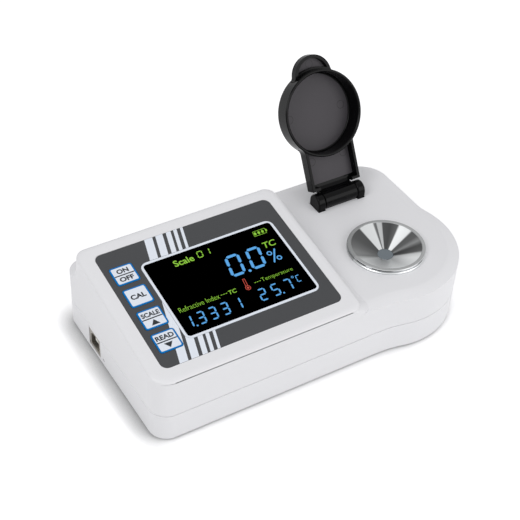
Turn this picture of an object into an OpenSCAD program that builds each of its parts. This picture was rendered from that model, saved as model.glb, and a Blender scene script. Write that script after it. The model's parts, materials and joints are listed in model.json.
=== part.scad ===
// Bench-top digital refractometer: a moulded two-part case with a tilted display
// housing on the left, a steel sample well in the round nose on the right, and a
// cup-shaped lid that swings over the well on a two-eared hinge.
// Case coordinates: X from the left wall, Y from the front wall, Z up from the table.

/* [Case] */
// Gap between the top of the display housing and the flange of the sample well
pod_well_gap = 16.4; // [15:0.1:20]
// Depth of the ledge behind the top of the display housing
back_ledge = 12.8; // [11:0.1:16]
// Height of the flat deck round the sample well
deck_h = 34; // [33:0.1:36]
// Height of the joint between the two shells
parting_h = 15.8; // [15:0.1:17]
// Gap between the case floor and the table
floor_gap = 1; // [0.8:0.1:1.4]
// Wall of both shells
wall = 2.2; // [2:0.1:2.6]
// Radius of the two left corners seen from above
corner_left_r = 9; // [7:0.1:11]
// Radius of the right back corner seen from above
corner_right_r = 14.5; // [12:0.1:17]
// Width of the soft bevel round the deck
deck_bevel_w = 6.2; // [5:0.1:7]
// Drop of the soft bevel round the deck
deck_bevel_drop = 1.7; // [1.2:0.1:2.2]
// Chamfer at the foot of the lower shell
foot_chamfer = 1; // [0.6:0.1:1.4]
// Radius of the round nose
nose_r = 38.9; // [37:0.1:42]
// How far the nose stands out past the front wall
nose_front = 2.7; // [2:0.1:4]
// How far the nose stands out past the right wall
nose_side = 2.8; // [2:0.1:4]
// Radius that blends the nose into the front wall
blend_front_r = 60; // [45:1:70]
// Radius that blends the nose into the right wall
blend_side_r = 20; // [12:1:24]

/* [Display housing] */
// Height of its top plane at the front wall above the deck
pod_step = 3.3; // [2.8:0.1:4.5]
// Gap from the label to the right edge of its top
pod_right = 5.8; // [5:0.1:8]
// Gap from the label to the back edge of its top, along the slope
pod_back = 6.95407; // [6:0.00001:9]
// Tilt of its top plane
pod_tilt = 8.6; // [7:0.1:10]
// Lean of its right wall
pod_side_lean = 30.5; // [24:0.5:33]
// Lean of its back wall
pod_back_lean = 11; // [5:0.5:14]
// Width of the bevel round its top
pod_bevel_w = 2.9; // [2.2:0.1:3.4]
// Drop of that bevel
pod_bevel_drop = 1.3; // [0.9:0.1:1.6]
// Radius of its right front corner
pod_front_r = 6; // [4:0.1:7.5]
// Radius of its two back corners
pod_back_r = 5.5; // [4:0.1:7.5]

/* [Front label] */
// Gap from the left wall to the label
label_left = 7.1; // [6.5:0.1:7.6]
// Gap from the front edge to the label, along the slope
label_front = 7.7; // [7.2:0.1:8.4]
// Corner radius of the label
label_r = 4.2; // [3:0.1:5]
// Thickness of the label
label_t = 0.4; // [0.3:0.05:0.5]
// Gap between the label and the pieces set in it
label_gap = 0.15; // [0.1:0.01:0.2]
// Length of the display window with its white frame
window_len = 70.2; // [62:0.1:80]
// Gap from the display window to the label's right edge
window_right = 5.8; // [5:0.1:7]
// Gap from the front edge to the display window, along the slope
window_front = 17.6; // [17:0.1:18.2]
// Gap from the display window to the label's back edge, along the slope
window_back = 12.7; // [11:0.1:14]
// Corner radius of the display window
window_r = 3.6; // [2.5:0.1:4.5]
// Width of the white frame printed inside the window's edge
window_frame = 1.7; // [1.2:0.1:2.2]

/* [Keys] */
// Length of a key
key_len = 11.4; // [10.8:0.1:11.8]
// Depth of a key along the slope
key_depth = 10.9; // [10.4:0.1:11.4]
// Distance between two keys along the slope
key_pitch = 13.86; // [13.4:0.02:14.2]
// Gap from the label's left edge to the keys
key_left = 2.9; // [2.4:0.1:3.4]
// Gap between the keys and the display window
key_window_gap = 2.6; // [2:0.1:3.2]
// Centre of the first key from the front edge, along the slope
key_first = 21.1; // [20.6:0.1:21.6]
// Gap from the centre of the last key to the label's back edge, along the slope
key_back = 15.22; // [14:0.02:17]
// Travel of a key
key_travel = 0.3; // [0.2:0.02:0.4]
// Thickness of a key's face
key_t = 0.5; // [0.4:0.05:0.6]
// How far a key stands above the label
key_proud = 0.2; // [0.1:0.05:0.3]
// Radius of the peg under a key
key_peg_r = 2; // [1.6:0.1:2.4]

/* [Sample well] */
// Place of the well from the nose centre, to the right
well_dx = 0.6; // [0:0.1:1.2]
// Place of the well from the nose centre, to the front
well_dy = 4.3; // [3.6:0.1:5]
// Width of the flat rim outside the cone
rim_w = 1.9; // [1.6:0.1:2.4]
// How far the rim lies inside the flange
rim_in = 0.4; // [0.3:0.05:0.6]
// Height of the rim above the deck
rim_h = 2.5; // [2.2:0.1:2.8]
// Radius of the flange that sits on the deck
flange_r = 19.5; // [19.4:0.05:19.6]
// Height of that flange
flange_h = 1.1; // [0.9:0.1:1.3]
// Depth of the cone below the rim
cone_depth = 6.2; // [5.8:0.1:6.6]
// Radius of the prism face at the bottom of the cone
prism_r = 3.9; // [3.6:0.1:4.2]
// How far the flange reaches past the well's body
flange_over = 3.1; // [2.8:0.1:3.6]
// Width of the nut that holds the well from inside
nut_w = 4.1; // [3.6:0.1:5]

/* [Lid and hinge] */
// Distance from the well's axis to the hinge axis
hinge_reach = 43.1; // [42.6:0.1:43.6]
// Height of the hinge axis above the deck
hinge_up = 3; // [2.9:0.1:3.2]
// Angle from the closed lid to the open lid
open_angle = 118; // [95:1:119]
// Width over both hinge ears
hinge_w = 28.1; // [27.6:0.1:28.6]
// Thickness of one hinge ear
ear_t = 4.3; // [3.8:0.1:4.6]
// Radius of a hinge ear
ear_r = 4.5; // [4.3:0.1:4.6]
// Radius of the hinge pin
pin_r = 1.25; // [1:0.05:1.5]
// Gap between the well's flange and the inside of the lid's rim
cup_gap = 0.8; // [0.6:0.1:1.2]
// Height of the lid's cup
cup_h = 10.4; // [9.6:0.1:11]
// Wall of the lid
lid_wall = 1.5; // [1.3:0.05:1.6]
// Gap between the closed lid's rim and the deck
lid_rim_gap = 0.4; // [0.3:0.05:0.6]
// How far the lid's arm stands out past each hinge ear
arm_over = 0.15; // [0.1:0.05:0.3]
// Distance of the arm's outer face from the hinge axis
arm_top = 4.3; // [4:0.1:4.4]
// Radius of the finger tab
tab_r = 10.4; // [9.6:0.1:10.8]
// How far the finger tab stands out past the cup
tab_out = 7.5; // [7:0.1:9]
// Thickness of the finger tab
tab_t = 3.9; // [3.2:0.1:4.2]
// How far the finger tab lies below the lid's top
tab_drop = 3.3; // [2.8:0.1:3.6]

/* [USB socket] */
// Centre of the socket from the front wall
usb_y = 64.4; // [63.5:0.1:65.5]
// Width of the socket
usb_w = 12; // [11.8:0.1:12.2]
// Height of the socket
usb_h = 10.9; // [10.7:0.1:11]
// Depth of the socket
usb_depth = 16; // [15:0.1:17]

/* [Battery bay] */
// Place of the bay from the left wall
bay_x = 27; // [26:0.1:29]
// Free length beside the battery
bay_play = 2.1; // [1.6:0.1:3]
// Gap between the battery and each long side of the bay
bay_side = 1.25; // [1:0.05:1.6]
// Length of the battery
battery_len = 48.5; // [48:0.1:49]
// Width of the battery
battery_w = 26.5; // [26:0.1:26.8]
// Height of the battery
battery_h = 17.5; // [17:0.1:17.8]

/* [Hidden] */

$fn = 64;
// Overrun of every cut
cut = 0.5;
// Clearance between pieces that seat in one another
seat_gap = 0.1;
// Clearance between a moving piece and its guide
slide_gap = 0.25;
// Clearance between a screw and its hole
thread_gap = 0.02;
// Steps in a quarter of a moulded corner
corner_steps = 6;
// Steps round the nose
nose_steps = 24;
// Steps along a blend
blend_steps = 4;
// Gap of the shadow line between the shells
parting_gap = 0.3;

// Derived sizes of the label, which holds the keys and the window
key_count = 4;
key_column = label_left + key_left + key_len / 2;
window_left = key_column + key_len / 2 + key_window_gap;
label_len = window_left + window_len + window_right - label_left;
label_depth = key_first + (key_count - 1) * key_pitch + key_back - label_front;
window_depth = label_front + label_depth - window_back - window_front;

// The display housing's top holds the label
pod_len = label_left + label_len + pod_right;
pod_depth = (label_front + label_depth + pod_back) * cos(pod_tilt);
pod_front_h = deck_h + pod_step;

// The case holds the housing and, in its nose, the well
rim_r = flange_r - rim_in;
cone_r = rim_r - rim_w;
well_body_r = flange_r - flange_over;
well_nut_r = well_body_r + nut_w;
well_x = pod_len + pod_well_gap + flange_r;
nose_x = well_x - well_dx;
nose_y = nose_r - nose_front;
well_y = nose_y - well_dy;
case_len = nose_x + nose_r - nose_side;
case_depth = pod_depth + back_ledge;

// Derived places of the well, the hinge and the lid
cup_r = flange_r + lid_wall + cup_gap;
tab_tip = cup_r + tab_out;
arm_w = hinge_w + 2 * arm_over;
rim_z = deck_h + rim_h;
prism_z = rim_z - cone_depth;
hinge_y = well_y + hinge_reach;
hinge_z = deck_h + hinge_up;
lid_rim_w = lid_rim_gap - hinge_up;
lid_top_w = lid_rim_w + cup_h;
floor_top = floor_gap + wall;
// Gap between the USB socket and the case floor
usb_seat = 0.05;
usb_z = floor_top + usb_seat + usb_h / 2;
pod_slope = tan(pod_tilt);
side_slope = tan(pod_side_lean);
back_slope = tan(pod_back_lean);

// The origin is the middle of the whole object's footprint, with the lid open
tab_reach = hinge_reach + tab_tip;
lid_back = hinge_y - tab_reach * cos(open_angle) + (lid_top_w - tab_drop) * sin(open_angle);
origin_x = (case_len + nose_side) / 2;
origin_y = (lid_back - nose_front) / 2;

// Colours
shell_colour = "#DEDEDE";
black_colour = "#1E1E20";
label_colour = "#4E4F51";
key_colour = "#E2E8F0";
steel_colour = "#B4B8BA";
board_colour = "#1F6B3A";

module placed() {
    translate([-origin_x, -origin_y, 0]) children();
}

// Frame of the tilted top plane: X along the front, Y up the slope, Z out of the plane
module on_pod() {
    translate([0, 0, pod_front_h]) rotate([pod_tilt, 0, 0]) children();
}

// Frame of the well's axis, with Z still measured from the table
module on_well() {
    translate([well_x, well_y, 0]) children();
}

// Frame of the hinge axis
module on_hinge() {
    translate([well_x, hinge_y, hinge_z]) children();
}

// A rectangle with round corners, from its low corner
module round_rect(w, d, r) {
    translate([r, 0]) square([w - 2 * r, d]);
    translate([0, r]) square([w, d - 2 * r]);
    for (x = [r, w - r], y = [r, d - r]) translate([x, y]) circle(r);
}

module round_plate(w, d, r, t) {
    linear_extrude(t) round_rect(w, d, r);
}

module x_cylinder(r, w) {
    rotate([0, 90, 0]) cylinder(r = r, h = w, center = true);
}

// Outlines as lists of points

function arc(c, r, a0, a1, n, first = 0, left_out = 0) =
    [for (i = [first : n - left_out]) let (a = a0 + (a1 - a0) * i / n) c + r * [cos(a), sin(a)]];

front_blend_x = nose_x - sqrt(pow(nose_r + blend_front_r, 2) - pow(nose_y + blend_front_r, 2));
front_blend_a = atan2(nose_y + blend_front_r, nose_x - front_blend_x);
side_blend_dx = case_len + blend_side_r - nose_x;
side_blend_y = nose_y + sqrt(pow(nose_r + blend_side_r, 2) - pow(side_blend_dx, 2));
side_blend_a = atan2(side_blend_y - nose_y, side_blend_dx);

// The case seen from above, moved inwards by inset. A blend shares its end point with the nose.
function case_outline(inset) = concat(
    arc([corner_left_r, corner_left_r], corner_left_r - inset, 180, 270, corner_steps),
    arc([front_blend_x, -blend_front_r], blend_front_r + inset, 90, front_blend_a, blend_steps, left_out = 1),
    arc([nose_x, nose_y], nose_r - inset, front_blend_a - 180, side_blend_a, nose_steps),
    arc([case_len + blend_side_r, side_blend_y], blend_side_r + inset, 180 + side_blend_a, 180, blend_steps, first = 1),
    arc([case_len - corner_right_r, case_depth - corner_right_r], corner_right_r - inset, 0, 90, corner_steps),
    arc([corner_left_r, case_depth - corner_left_r], corner_left_r - inset, 90, 180, corner_steps)
);

// A round corner at p between the edges to a and b
function fillet(a, p, b, r, n) =
    let (
        u = (a - p) / norm(a - p),
        v = (b - p) / norm(b - p),
        half = acos(u * v) / 2,
        c = p + (u + v) / norm(u + v) * r / sin(half),
        s = p + u * r / tan(half),
        e = p + v * r / tan(half),
        a0 = atan2(s[1] - c[1], s[0] - c[0]),
        sweep = (atan2(e[1] - c[1], e[0] - c[0]) - a0 + 720) % 360
    )
    arc(c, r, a0, a0 + sweep, n);

function pod_outline(inset, right_front, right_back, back_left, back_right) =
    let (
        p = [[inset, inset], [right_front, inset], [right_back, back_right], [inset, back_left]]
    )
    concat(
        arc([corner_left_r, corner_left_r], corner_left_r - inset, 180, 270, corner_steps),
        fillet(p[0], p[1], p[2], pod_front_r - inset / 2, corner_steps),
        fillet(p[1], p[2], p[3], pod_back_r - inset / 2, corner_steps),
        fillet(p[2], p[3], p[0], pod_back_r - inset / 2, corner_steps)
    );

function middle(ring) = [for (axis = [0 : 2]) sum([for (p = ring) p[axis]]) / len(ring)];
function sum(list) = list * [for (i = list) 1];

// A closed skin through rings of the same number of points, first ring lowest.
// Each end is closed by triangles round the ring's middle, since an outline may be hollow at its blends.
module skin(rings) {
    n = len(rings[0]);
    m = len(rings);
    polyhedron(
        points = concat([for (ring = rings) each ring], [middle(rings[0]), middle(rings[m - 1])]),
        faces = [for (i = [0 : n - 1])
            let (j = (i + 1) % n)
            each concat(
                [[i, j, m * n]],
                [for (k = [0 : m - 2])
                    each [[k * n + i, (k + 1) * n + i, (k + 1) * n + j], [k * n + i, (k + 1) * n + j, k * n + j]]],
                [[(m - 1) * n + j, (m - 1) * n + i, m * n + 1]]
            )],
        convexity = 6
    );
}

// A form that follows the case outline, as rings of [height, inset]
module case_rings(rings) {
    skin([for (g = rings) [for (p = case_outline(g[1])) [p[0], p[1], g[0]]]]);
}

// Shares of the deck bevel: how far in, and how far up, each ring lies
bevel_shares = [[0, 0], [0.52, 0.62], [0.8, 0.9], [1, 1]];

// The case from z0 up to the deck, moved inwards and down by the wall
module case_form(z0, shift) {
    rings = concat(
        [[z0, 0]],
        [for (s = bevel_shares) [deck_h - deck_bevel_drop * (1 - s[1]) - shift, deck_bevel_w * s[0]]]
    );
    case_rings([for (g = rings) [g[0], shift + g[1]]]);
}

// The display housing from z0 up to its tilted top, moved inwards and down by the wall
module pod_form(z0, shift) {
    // Drop below the top plane and inset at the foot, the bevel's two edges and its middle
    drops = [[pod_bevel_drop, 0], [pod_bevel_drop / 3, pod_bevel_w / 2], [0, pod_bevel_w]];
    base_front = pod_front_h - z0;
    base_back = base_front + pod_slope * pod_depth;
    foot = [for (p = pod_outline(shift, pod_len + side_slope * base_front - shift,
            pod_len + side_slope * base_back - shift,
            pod_depth + back_slope * base_back - shift, pod_depth + back_slope * base_back - shift))
        [p[0], p[1], z0]];
    skin(concat([foot], [for (d = drops) [for (p = pod_outline(shift + d[1],
            pod_len + side_slope * pod_bevel_drop - shift - d[1],
            pod_len + side_slope * pod_bevel_drop - shift - d[1],
            pod_depth + back_slope * pod_bevel_drop - shift - d[1],
            pod_depth + back_slope * pod_bevel_drop - shift - d[1]))
        [p[0], p[1], pod_front_h + pod_slope * p[1] - d[0] - shift]]]));
}

// Case screws: one in each corner, as [x, y]
screw_edge = 11;
screw_nose_share = 0.8;
screw_nose_angle = -55;
screw_places = [
    [screw_edge, screw_edge],
    [screw_edge, case_depth - screw_edge],
    [nose_x, nose_y] + nose_r * screw_nose_share * [cos(screw_nose_angle), sin(screw_nose_angle)],
    [case_len - corner_right_r, case_depth - corner_right_r]
];
screw_r = 1.4;
screw_head_r = 2.7;
screw_head_h = 2;
screw_boss_r = 4;
screw_sink = 5;
// Height left over the end of a case screw, below the deck
screw_room = 9.2;
screw_grip = deck_h - parting_h - screw_room;
boss_cap = 1.5;
boss_rib_t = 1.6;

module screw(r, head_r, head_h, length) {
    cylinder(r = head_r, h = head_h);
    translate([0, 0, head_h]) cylinder(r = r, h = length);
}

// Feet, as [x, y]
foot_r = 5.5;
foot_t = 1.9;
foot_in = 13;
foot_places = [
    [2 * foot_in, foot_in],
    [foot_in, case_depth - 2 * foot_in],
    [nose_x, foot_in],
    [case_len - 2 * foot_in, case_depth - foot_in]
];

// Battery bay
bay_depth = battery_w + 2 * bay_side;
bay_y = case_depth - 2 * wall - bay_depth;
bay_wall = 1.6;
bay_head = 0.4;
cover_t = 1.8;
cover_lip = 1.2;
cover_step = 0.9;
cover_over = 2;
pad_t = 1.2;
bay_floor = floor_gap + cover_t + seat_gap;
bay_roof = bay_floor + battery_h + bay_head;

// Boards
board_t = 1.6;
main_board_z = usb_z + usb_h / 2 + seat_gap;
board_edge = 5;
board_leg_w = 18;
board_post_r = 3;
board_hole_r = 1.1;
board_screw_r = 1;
board_screw_head_r = 2;
board_screw_head_h = 1.4;
board_screw_grip = 6;
board_inset = 5;
main_board_right = pod_len + 2 * board_edge;
main_board_back = bay_y - bay_wall - board_edge;
board_post_places = [
    [corner_left_r + screw_boss_r + board_inset, board_edge + board_inset],
    [main_board_right - board_inset, board_edge + board_inset],
    [main_board_right - board_inset, main_board_back - board_inset],
    [board_edge + board_inset, main_board_back / 2]
];

// Lower shell
lip_h = 2;
lip_t = 0.9;
lip_root = 3;
pin_hole_r = 0.9;
pin_hole_gap = 3.5;
pin_hole_up = 1.8;
pin_hole_y = usb_y - usb_w / 2 - pin_hole_gap;
pin_hole_z = floor_top + pin_hole_up;

module lower_shell() {
    seam = parting_h - parting_gap / 2;
    lip_in = wall + seat_gap + lip_t;
    color(shell_colour) difference() {
        union() {
            // Shell with an inner lip that stands up into the upper shell
            difference() {
                case_rings([[floor_gap, foot_chamfer], [floor_gap + foot_chamfer, 0], [seam, 0],
                    [seam, wall + seat_gap], [seam + lip_h, wall + seat_gap]]);
                case_rings([[floor_top, wall + foot_chamfer], [floor_top + foot_chamfer, wall],
                    [seam - lip_root, wall], [seam - lip_root + seat_gap + lip_t, lip_in], [seam + lip_h + cut, lip_in]]);
            }
            // Pad and box of the battery bay
            translate([bay_x - cover_over - pad_t, bay_y - cover_over - pad_t, floor_gap])
                cube([bay_len + 2 * (cover_over + pad_t), bay_depth + cover_over + pad_t + wall, wall + pad_t]);
            translate([bay_x - bay_wall, bay_y - bay_wall, floor_gap])
                cube([bay_len + 2 * bay_wall, bay_depth + 2 * bay_wall, bay_roof + bay_wall - floor_gap]);
            for (p = board_post_places) translate([p[0], p[1], floor_gap + cut])
                cylinder(r = board_post_r, h = main_board_z - floor_gap - cut);
            for (p = screw_places) translate([p[0], p[1], floor_gap + cut])
                cylinder(r = screw_boss_r, h = parting_h - parting_gap - floor_gap - cut);
        }
        translate([bay_x, bay_y, floor_gap - cut]) cube([bay_len, bay_depth, bay_roof - floor_gap + cut]);
        battery_cover_form(seat_gap, case_depth);
        for (p = board_post_places) translate([p[0], p[1], main_board_z - board_screw_grip])
            cylinder(r = board_screw_r + thread_gap, h = board_screw_grip + cut);
        for (p = screw_places) translate([p[0], p[1], floor_gap - cut]) {
            cylinder(r = screw_head_r + seat_gap, h = screw_sink + cut);
            cylinder(r = screw_r + seat_gap, h = parting_h);
        }
        for (p = foot_places) translate([p[0], p[1], floor_gap - cut])
            cylinder(r = foot_r + seat_gap, h = foot_t - floor_gap + cut);
        // USB mouth and pin hole in the left wall
        translate([-cut, usb_y - usb_w / 2 - seat_gap, usb_z - usb_h / 2 - seat_gap])
            cube([lip_in + 2 * cut, usb_w + 2 * seat_gap, usb_h + 2 * seat_gap]);
        translate([0, pin_hole_y, pin_hole_z]) x_cylinder(pin_hole_r, 2 * (wall + cut));
    }
}

// Hinge pocket in the deck
pocket_depth = 2.4;
hinge_floor_t = 0.8;
pocket_floor = deck_h - pocket_depth;
hinge_screw_r = 1;
hinge_screw_head_r = 2;
hinge_screw_head_h = 1.3;
hinge_screw_x = (hinge_w - ear_t) / 2;
pocket_pad = 2;

// Posts that carry the display board, as [x, y] on the slope
stack_gap = 0.2;
lcd_t = 2.6;
backlight_t = 2.5;
display_board_z = -(wall + 3 * stack_gap + lcd_t + backlight_t + label_t);
display_post_edge = 4.6;
display_board_x = label_left;
display_board_len = label_len;
display_board_y = label_front - display_post_edge / 2;
display_board_depth = label_depth;
display_post_places = [for (x = [display_board_x + display_post_edge, display_board_x + display_board_len - display_post_edge],
    y = [display_board_y + display_post_edge, display_board_y + display_board_depth - display_post_edge]) [x, y]];

lcd_inset = 1.2;
lcd_x = window_left - lcd_inset;
lcd_y = window_front - lcd_inset;
lcd_len = window_len + 2 * lcd_inset;
lcd_depth = window_depth + 2 * lcd_inset;
holder_wall = 1.4;
key_well = key_t - key_proud - label_t + key_travel + slide_gap;

module key_places() {
    for (i = [0 : key_count - 1]) translate([key_column, key_first + i * key_pitch, 0]) children();
}

module upper_shell() {
    seam = parting_h + parting_gap / 2;
    color(shell_colour) difference() {
        union() {
            difference() {
                union() {
                    case_form(seam, 0);
                    pod_form(deck_h - deck_bevel_drop - cut, 0);
                }
                case_form(seam - cut, wall);
                pod_form(deck_h - deck_bevel_drop - wall - cut, wall);
            }
            // Bosses for the case screws, the display board and the hinge
            for (i = [1 : 3]) translate([screw_places[i][0], screw_places[i][1], parting_h])
                cylinder(r = screw_boss_r, h = deck_h - wall / 2 - parting_h);
            translate([screw_edge, screw_edge, parting_h]) {
                cylinder(r = screw_boss_r, h = screw_grip + boss_cap);
                for (a = [180, 270]) rotate(a) translate([0, -boss_rib_t / 2, lip_h])
                    cube([screw_edge - wall / 2, boss_rib_t, screw_grip + boss_cap - lip_h]);
            }
            on_pod() for (p = display_post_places) translate([p[0], p[1], display_board_z])
                cylinder(r = board_post_r, h = -display_board_z - wall / 2);
            translate([well_x - hinge_w / 2 - pocket_pad, hinge_y - ear_r - pocket_pad, pocket_floor - pocket_pad])
                cube([hinge_w + 2 * pocket_pad, 2 * (ear_r + pocket_pad), pocket_pad + pocket_depth - wall / 2]);
        }
        // Label recess, display opening and key holes in the tilted top
        on_pod() {
            translate([label_left - label_gap, label_front - label_gap, -label_t])
                round_plate(label_len + 2 * label_gap, label_depth + 2 * label_gap, label_r + label_gap, label_t + cut);
            translate([window_left + window_frame, window_front + window_frame, -wall - 2 * cut])
                round_plate(window_len - 2 * window_frame, window_depth - 2 * window_frame,
                    window_r - window_frame, wall + 3 * cut);
            key_places() {
                translate([-key_len / 2 - label_gap, -key_depth / 2 - label_gap, -label_t - key_well])
                    cube([key_len + 2 * label_gap, key_depth + 2 * label_gap, key_well + cut]);
                translate([0, 0, -wall - 2 * cut]) cylinder(r = key_peg_r + slide_gap, h = wall + 2 * cut);
            }
            for (p = display_post_places) translate([p[0], p[1], display_board_z - cut])
                cylinder(r = board_screw_r + thread_gap, h = board_screw_grip - 2 * cut);
        }
        for (p = screw_places) translate([p[0], p[1], parting_h - cut])
            cylinder(r = screw_r + thread_gap, h = screw_grip);
        on_well() translate([0, 0, deck_h - wall - cut]) cylinder(r = well_body_r + seat_gap, h = wall + 2 * cut);
        // Pocket of the hinge and its two screw holes
        for (s = [-1, 1]) translate([well_x + s * hinge_screw_x - ear_t / 2 - seat_gap, hinge_y - ear_r - seat_gap, pocket_floor])
            cube([ear_t + 2 * seat_gap, 2 * (ear_r + seat_gap), pocket_depth + cut]);
        translate([well_x - hinge_w / 2, hinge_y - knuckle_room, pocket_floor])
            cube([hinge_w, 2 * knuckle_room, pocket_depth + cut]);
        for (s = [-1, 1]) translate([well_x + s * hinge_screw_x, hinge_y, pocket_floor - pocket_pad - cut])
            cylinder(r = hinge_screw_r + seat_gap, h = pocket_pad + 2 * cut);
    }
}

module rubber_feet() {
    color(black_colour) for (p = foot_places) translate([p[0], p[1], 0]) {
        cylinder(r1 = foot_r - floor_gap / 2, r2 = foot_r, h = floor_gap);
        translate([0, 0, floor_gap]) cylinder(r = foot_r, h = foot_t - floor_gap);
    }
}

module case_screws() {
    color(steel_colour) for (p = screw_places)
        translate([p[0], p[1], floor_gap + screw_sink - screw_head_h])
            screw(screw_r, screw_head_r, screw_head_h, parting_h + screw_grip - floor_gap - screw_sink - cut - seat_gap);
}

// The sliding cover, or with a gap the path cut for it
module battery_cover_form(gap, reach) {
    x0 = bay_x - cover_over;
    y0 = bay_y - cover_over;
    len_x = bay_len + 2 * cover_over;
    translate([x0 - gap, y0 - gap, floor_gap - (gap > 0 ? cut : 0)])
        cube([len_x + 2 * gap, reach - y0 + gap, cover_step + (gap > 0 ? cut : 0)]);
    translate([x0 - cover_lip - gap, y0 - gap, floor_gap + cover_step - gap])
        cube([len_x + 2 * (cover_lip + gap), reach - y0 + gap, cover_t - cover_step + 2 * gap]);
}

grip_count = 5;
grip_pitch = 2.4;
grip_w = 18;
grip_depth = 0.4;
module battery_cover() {
    color(shell_colour) difference() {
        battery_cover_form(0, case_depth - foot_chamfer);
        // Finger grip grooves near the back wall
        for (i = [1 : grip_count])
            translate([bay_x + bay_len / 2 - grip_w / 2, case_depth - foot_chamfer - i * grip_pitch - grip_pitch / 2, floor_gap - cut])
                cube([grip_w, grip_pitch / 2, grip_depth + cut]);
    }
}

stud_r = 2.9;
stud_h = 2.8;
stud_pitch = 12.95;
snap_t = 1.4;
snap_h = 10;
bay_len = battery_len + stud_h + snap_t + 2 * seat_gap + bay_play;
battery_x = bay_x + bay_len - snap_t - stud_h - battery_len - 2 * seat_gap;
battery_y = bay_y + (bay_depth - battery_w) / 2;
battery_z = floor_gap + cover_t + seat_gap;
module battery() {
    color("#3A4A5A") translate([battery_x, battery_y, battery_z]) {
        cube([battery_len, battery_w, battery_h]);
        for (s = [-1, 1]) translate([battery_len, battery_w / 2 + s * stud_pitch / 2, battery_h / 2])
            rotate([0, 90, 0]) cylinder(r = stud_r, h = stud_h);
    }
}

module battery_snap() {
    color(black_colour) translate([bay_x + bay_len - seat_gap - snap_t, battery_y, battery_z + (battery_h - snap_h) / 2])
        cube([snap_t, battery_w, snap_h]);
}

module main_board_outline() {
    difference() {
        union() {
            translate([board_edge, board_edge]) square([main_board_right - board_edge, main_board_back - board_edge]);
            translate([board_edge, board_edge]) square([board_leg_w, usb_y + usb_w - board_edge]);
        }
        for (p = screw_places) translate([p[0], p[1]]) circle(screw_boss_r + seat_gap + slide_gap);
        for (p = board_post_places) translate([p[0], p[1]]) circle(board_hole_r);
    }
}

module main_board() {
    color(board_colour) translate([0, 0, main_board_z]) linear_extrude(board_t) main_board_outline();
}

module board_screws() {
    color(steel_colour) for (p = board_post_places)
        translate([p[0], p[1], main_board_z + board_t + board_screw_head_h]) mirror([0, 0, 1])
            screw(board_screw_r, board_screw_head_r, board_screw_head_h, board_t + board_screw_grip - cut);
}

chip_w = 14;
chip_t = 1.8;
module processor_chip() {
    color(black_colour) translate([main_board_right / 2, main_board_back / 4, main_board_z + board_t])
        cube([chip_w, chip_w, chip_t]);
}

usb_recess = 0.3;
usb_back_t = 3;
usb_bevel = 1.8;
module usb_outline(w, h, bevel) {
    polygon([[-w / 2, -h / 2], [w / 2, -h / 2], [w / 2, h / 2 - bevel], [w / 2 - bevel, h / 2],
        [-w / 2 + bevel, h / 2], [-w / 2, h / 2 - bevel]]);
}

// Frame of the socket: its mouth faces the left wall and Z runs inwards
module on_usb() {
    translate([usb_recess, usb_y, usb_z]) rotate([90, 0, 90]) children();
}

usb_mouth_w = 8.5;
usb_mouth_h = 7.8;
module usb_shell() {
    color(steel_colour) on_usb() difference() {
        translate([-usb_w / 2, -usb_h / 2, 0]) cube([usb_w, usb_h, usb_depth]);
        translate([0, 0, -cut]) linear_extrude(usb_depth - usb_back_t + cut)
            usb_outline(usb_mouth_w, usb_mouth_h, usb_bevel);
    }
}

usb_tongue_w = 5.6;
usb_tongue_h = 3.2;
usb_tongue_in = 1.5;
module usb_tongue() {
    color(black_colour) on_usb() translate([-usb_tongue_w / 2, -usb_tongue_h / 2, usb_tongue_in])
        cube([usb_tongue_w, usb_tongue_h, usb_depth - usb_back_t - usb_tongue_in]);
}

reset_w = 6;
reset_t = 2 * (pin_hole_z - floor_top - seat_gap);
reset_button_r = 0.6;
reset_in = wall + slide_gap;
module reset_switch() {
    color(black_colour) {
        translate([board_edge + seat_gap, pin_hole_y - reset_w / 2, pin_hole_z - reset_t / 2])
            cube([reset_t, reset_w, main_board_z - pin_hole_z + reset_t / 2]);
        translate([(board_edge + reset_in + seat_gap) / 2, pin_hole_y, pin_hole_z])
            x_cylinder(reset_button_r, board_edge - reset_in + seat_gap);
    }
}

module key_opening() {
    key_places() translate([-key_len / 2 - label_gap, -key_depth / 2 - label_gap, -label_t - cut])
        cube([key_len + 2 * label_gap, key_depth + 2 * label_gap, label_t + 2 * cut]);
}

module front_label() {
    color(label_colour) on_pod() difference() {
        translate([label_left, label_front, -label_t]) round_plate(label_len, label_depth, label_r, label_t);
        translate([window_left - label_gap, window_front - label_gap, -label_t - cut])
            round_plate(window_len + 2 * label_gap, window_depth + 2 * label_gap, window_r + label_gap, label_t + 2 * cut);
        key_opening();
    }
}

module display_window() {
    color("#101216") on_pod() translate([window_left, window_front, -label_t])
        round_plate(window_len, window_depth, window_r, label_t);
}

module lcd_glass() {
    color("#20242A") on_pod() translate([lcd_x, lcd_y, -label_t - wall - stack_gap - lcd_t])
        cube([lcd_len, lcd_depth, lcd_t]);
}

module lcd_backlight() {
    color("#F2F2EA") on_pod() translate([lcd_x, lcd_y, display_board_z + stack_gap])
        cube([lcd_len, lcd_depth, backlight_t]);
}

module lcd_holder() {
    color(black_colour) on_pod() difference() {
        translate([lcd_x - seat_gap - holder_wall, lcd_y - seat_gap - holder_wall, display_board_z])
            cube([lcd_len + 2 * (seat_gap + holder_wall), lcd_depth + 2 * (seat_gap + holder_wall),
                -display_board_z - label_t - wall]);
        translate([lcd_x - seat_gap, lcd_y - seat_gap, display_board_z - cut])
            cube([lcd_len + 2 * seat_gap, lcd_depth + 2 * seat_gap, 2 * cut - display_board_z]);
    }
}

module display_board() {
    color(board_colour) on_pod() difference() {
        translate([display_board_x, display_board_y, display_board_z - board_t])
            cube([display_board_len, display_board_depth, board_t]);
        for (p = display_post_places) translate([p[0], p[1], display_board_z - board_t - cut])
            cylinder(r = board_hole_r, h = board_t + 2 * cut);
    }
}

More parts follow.
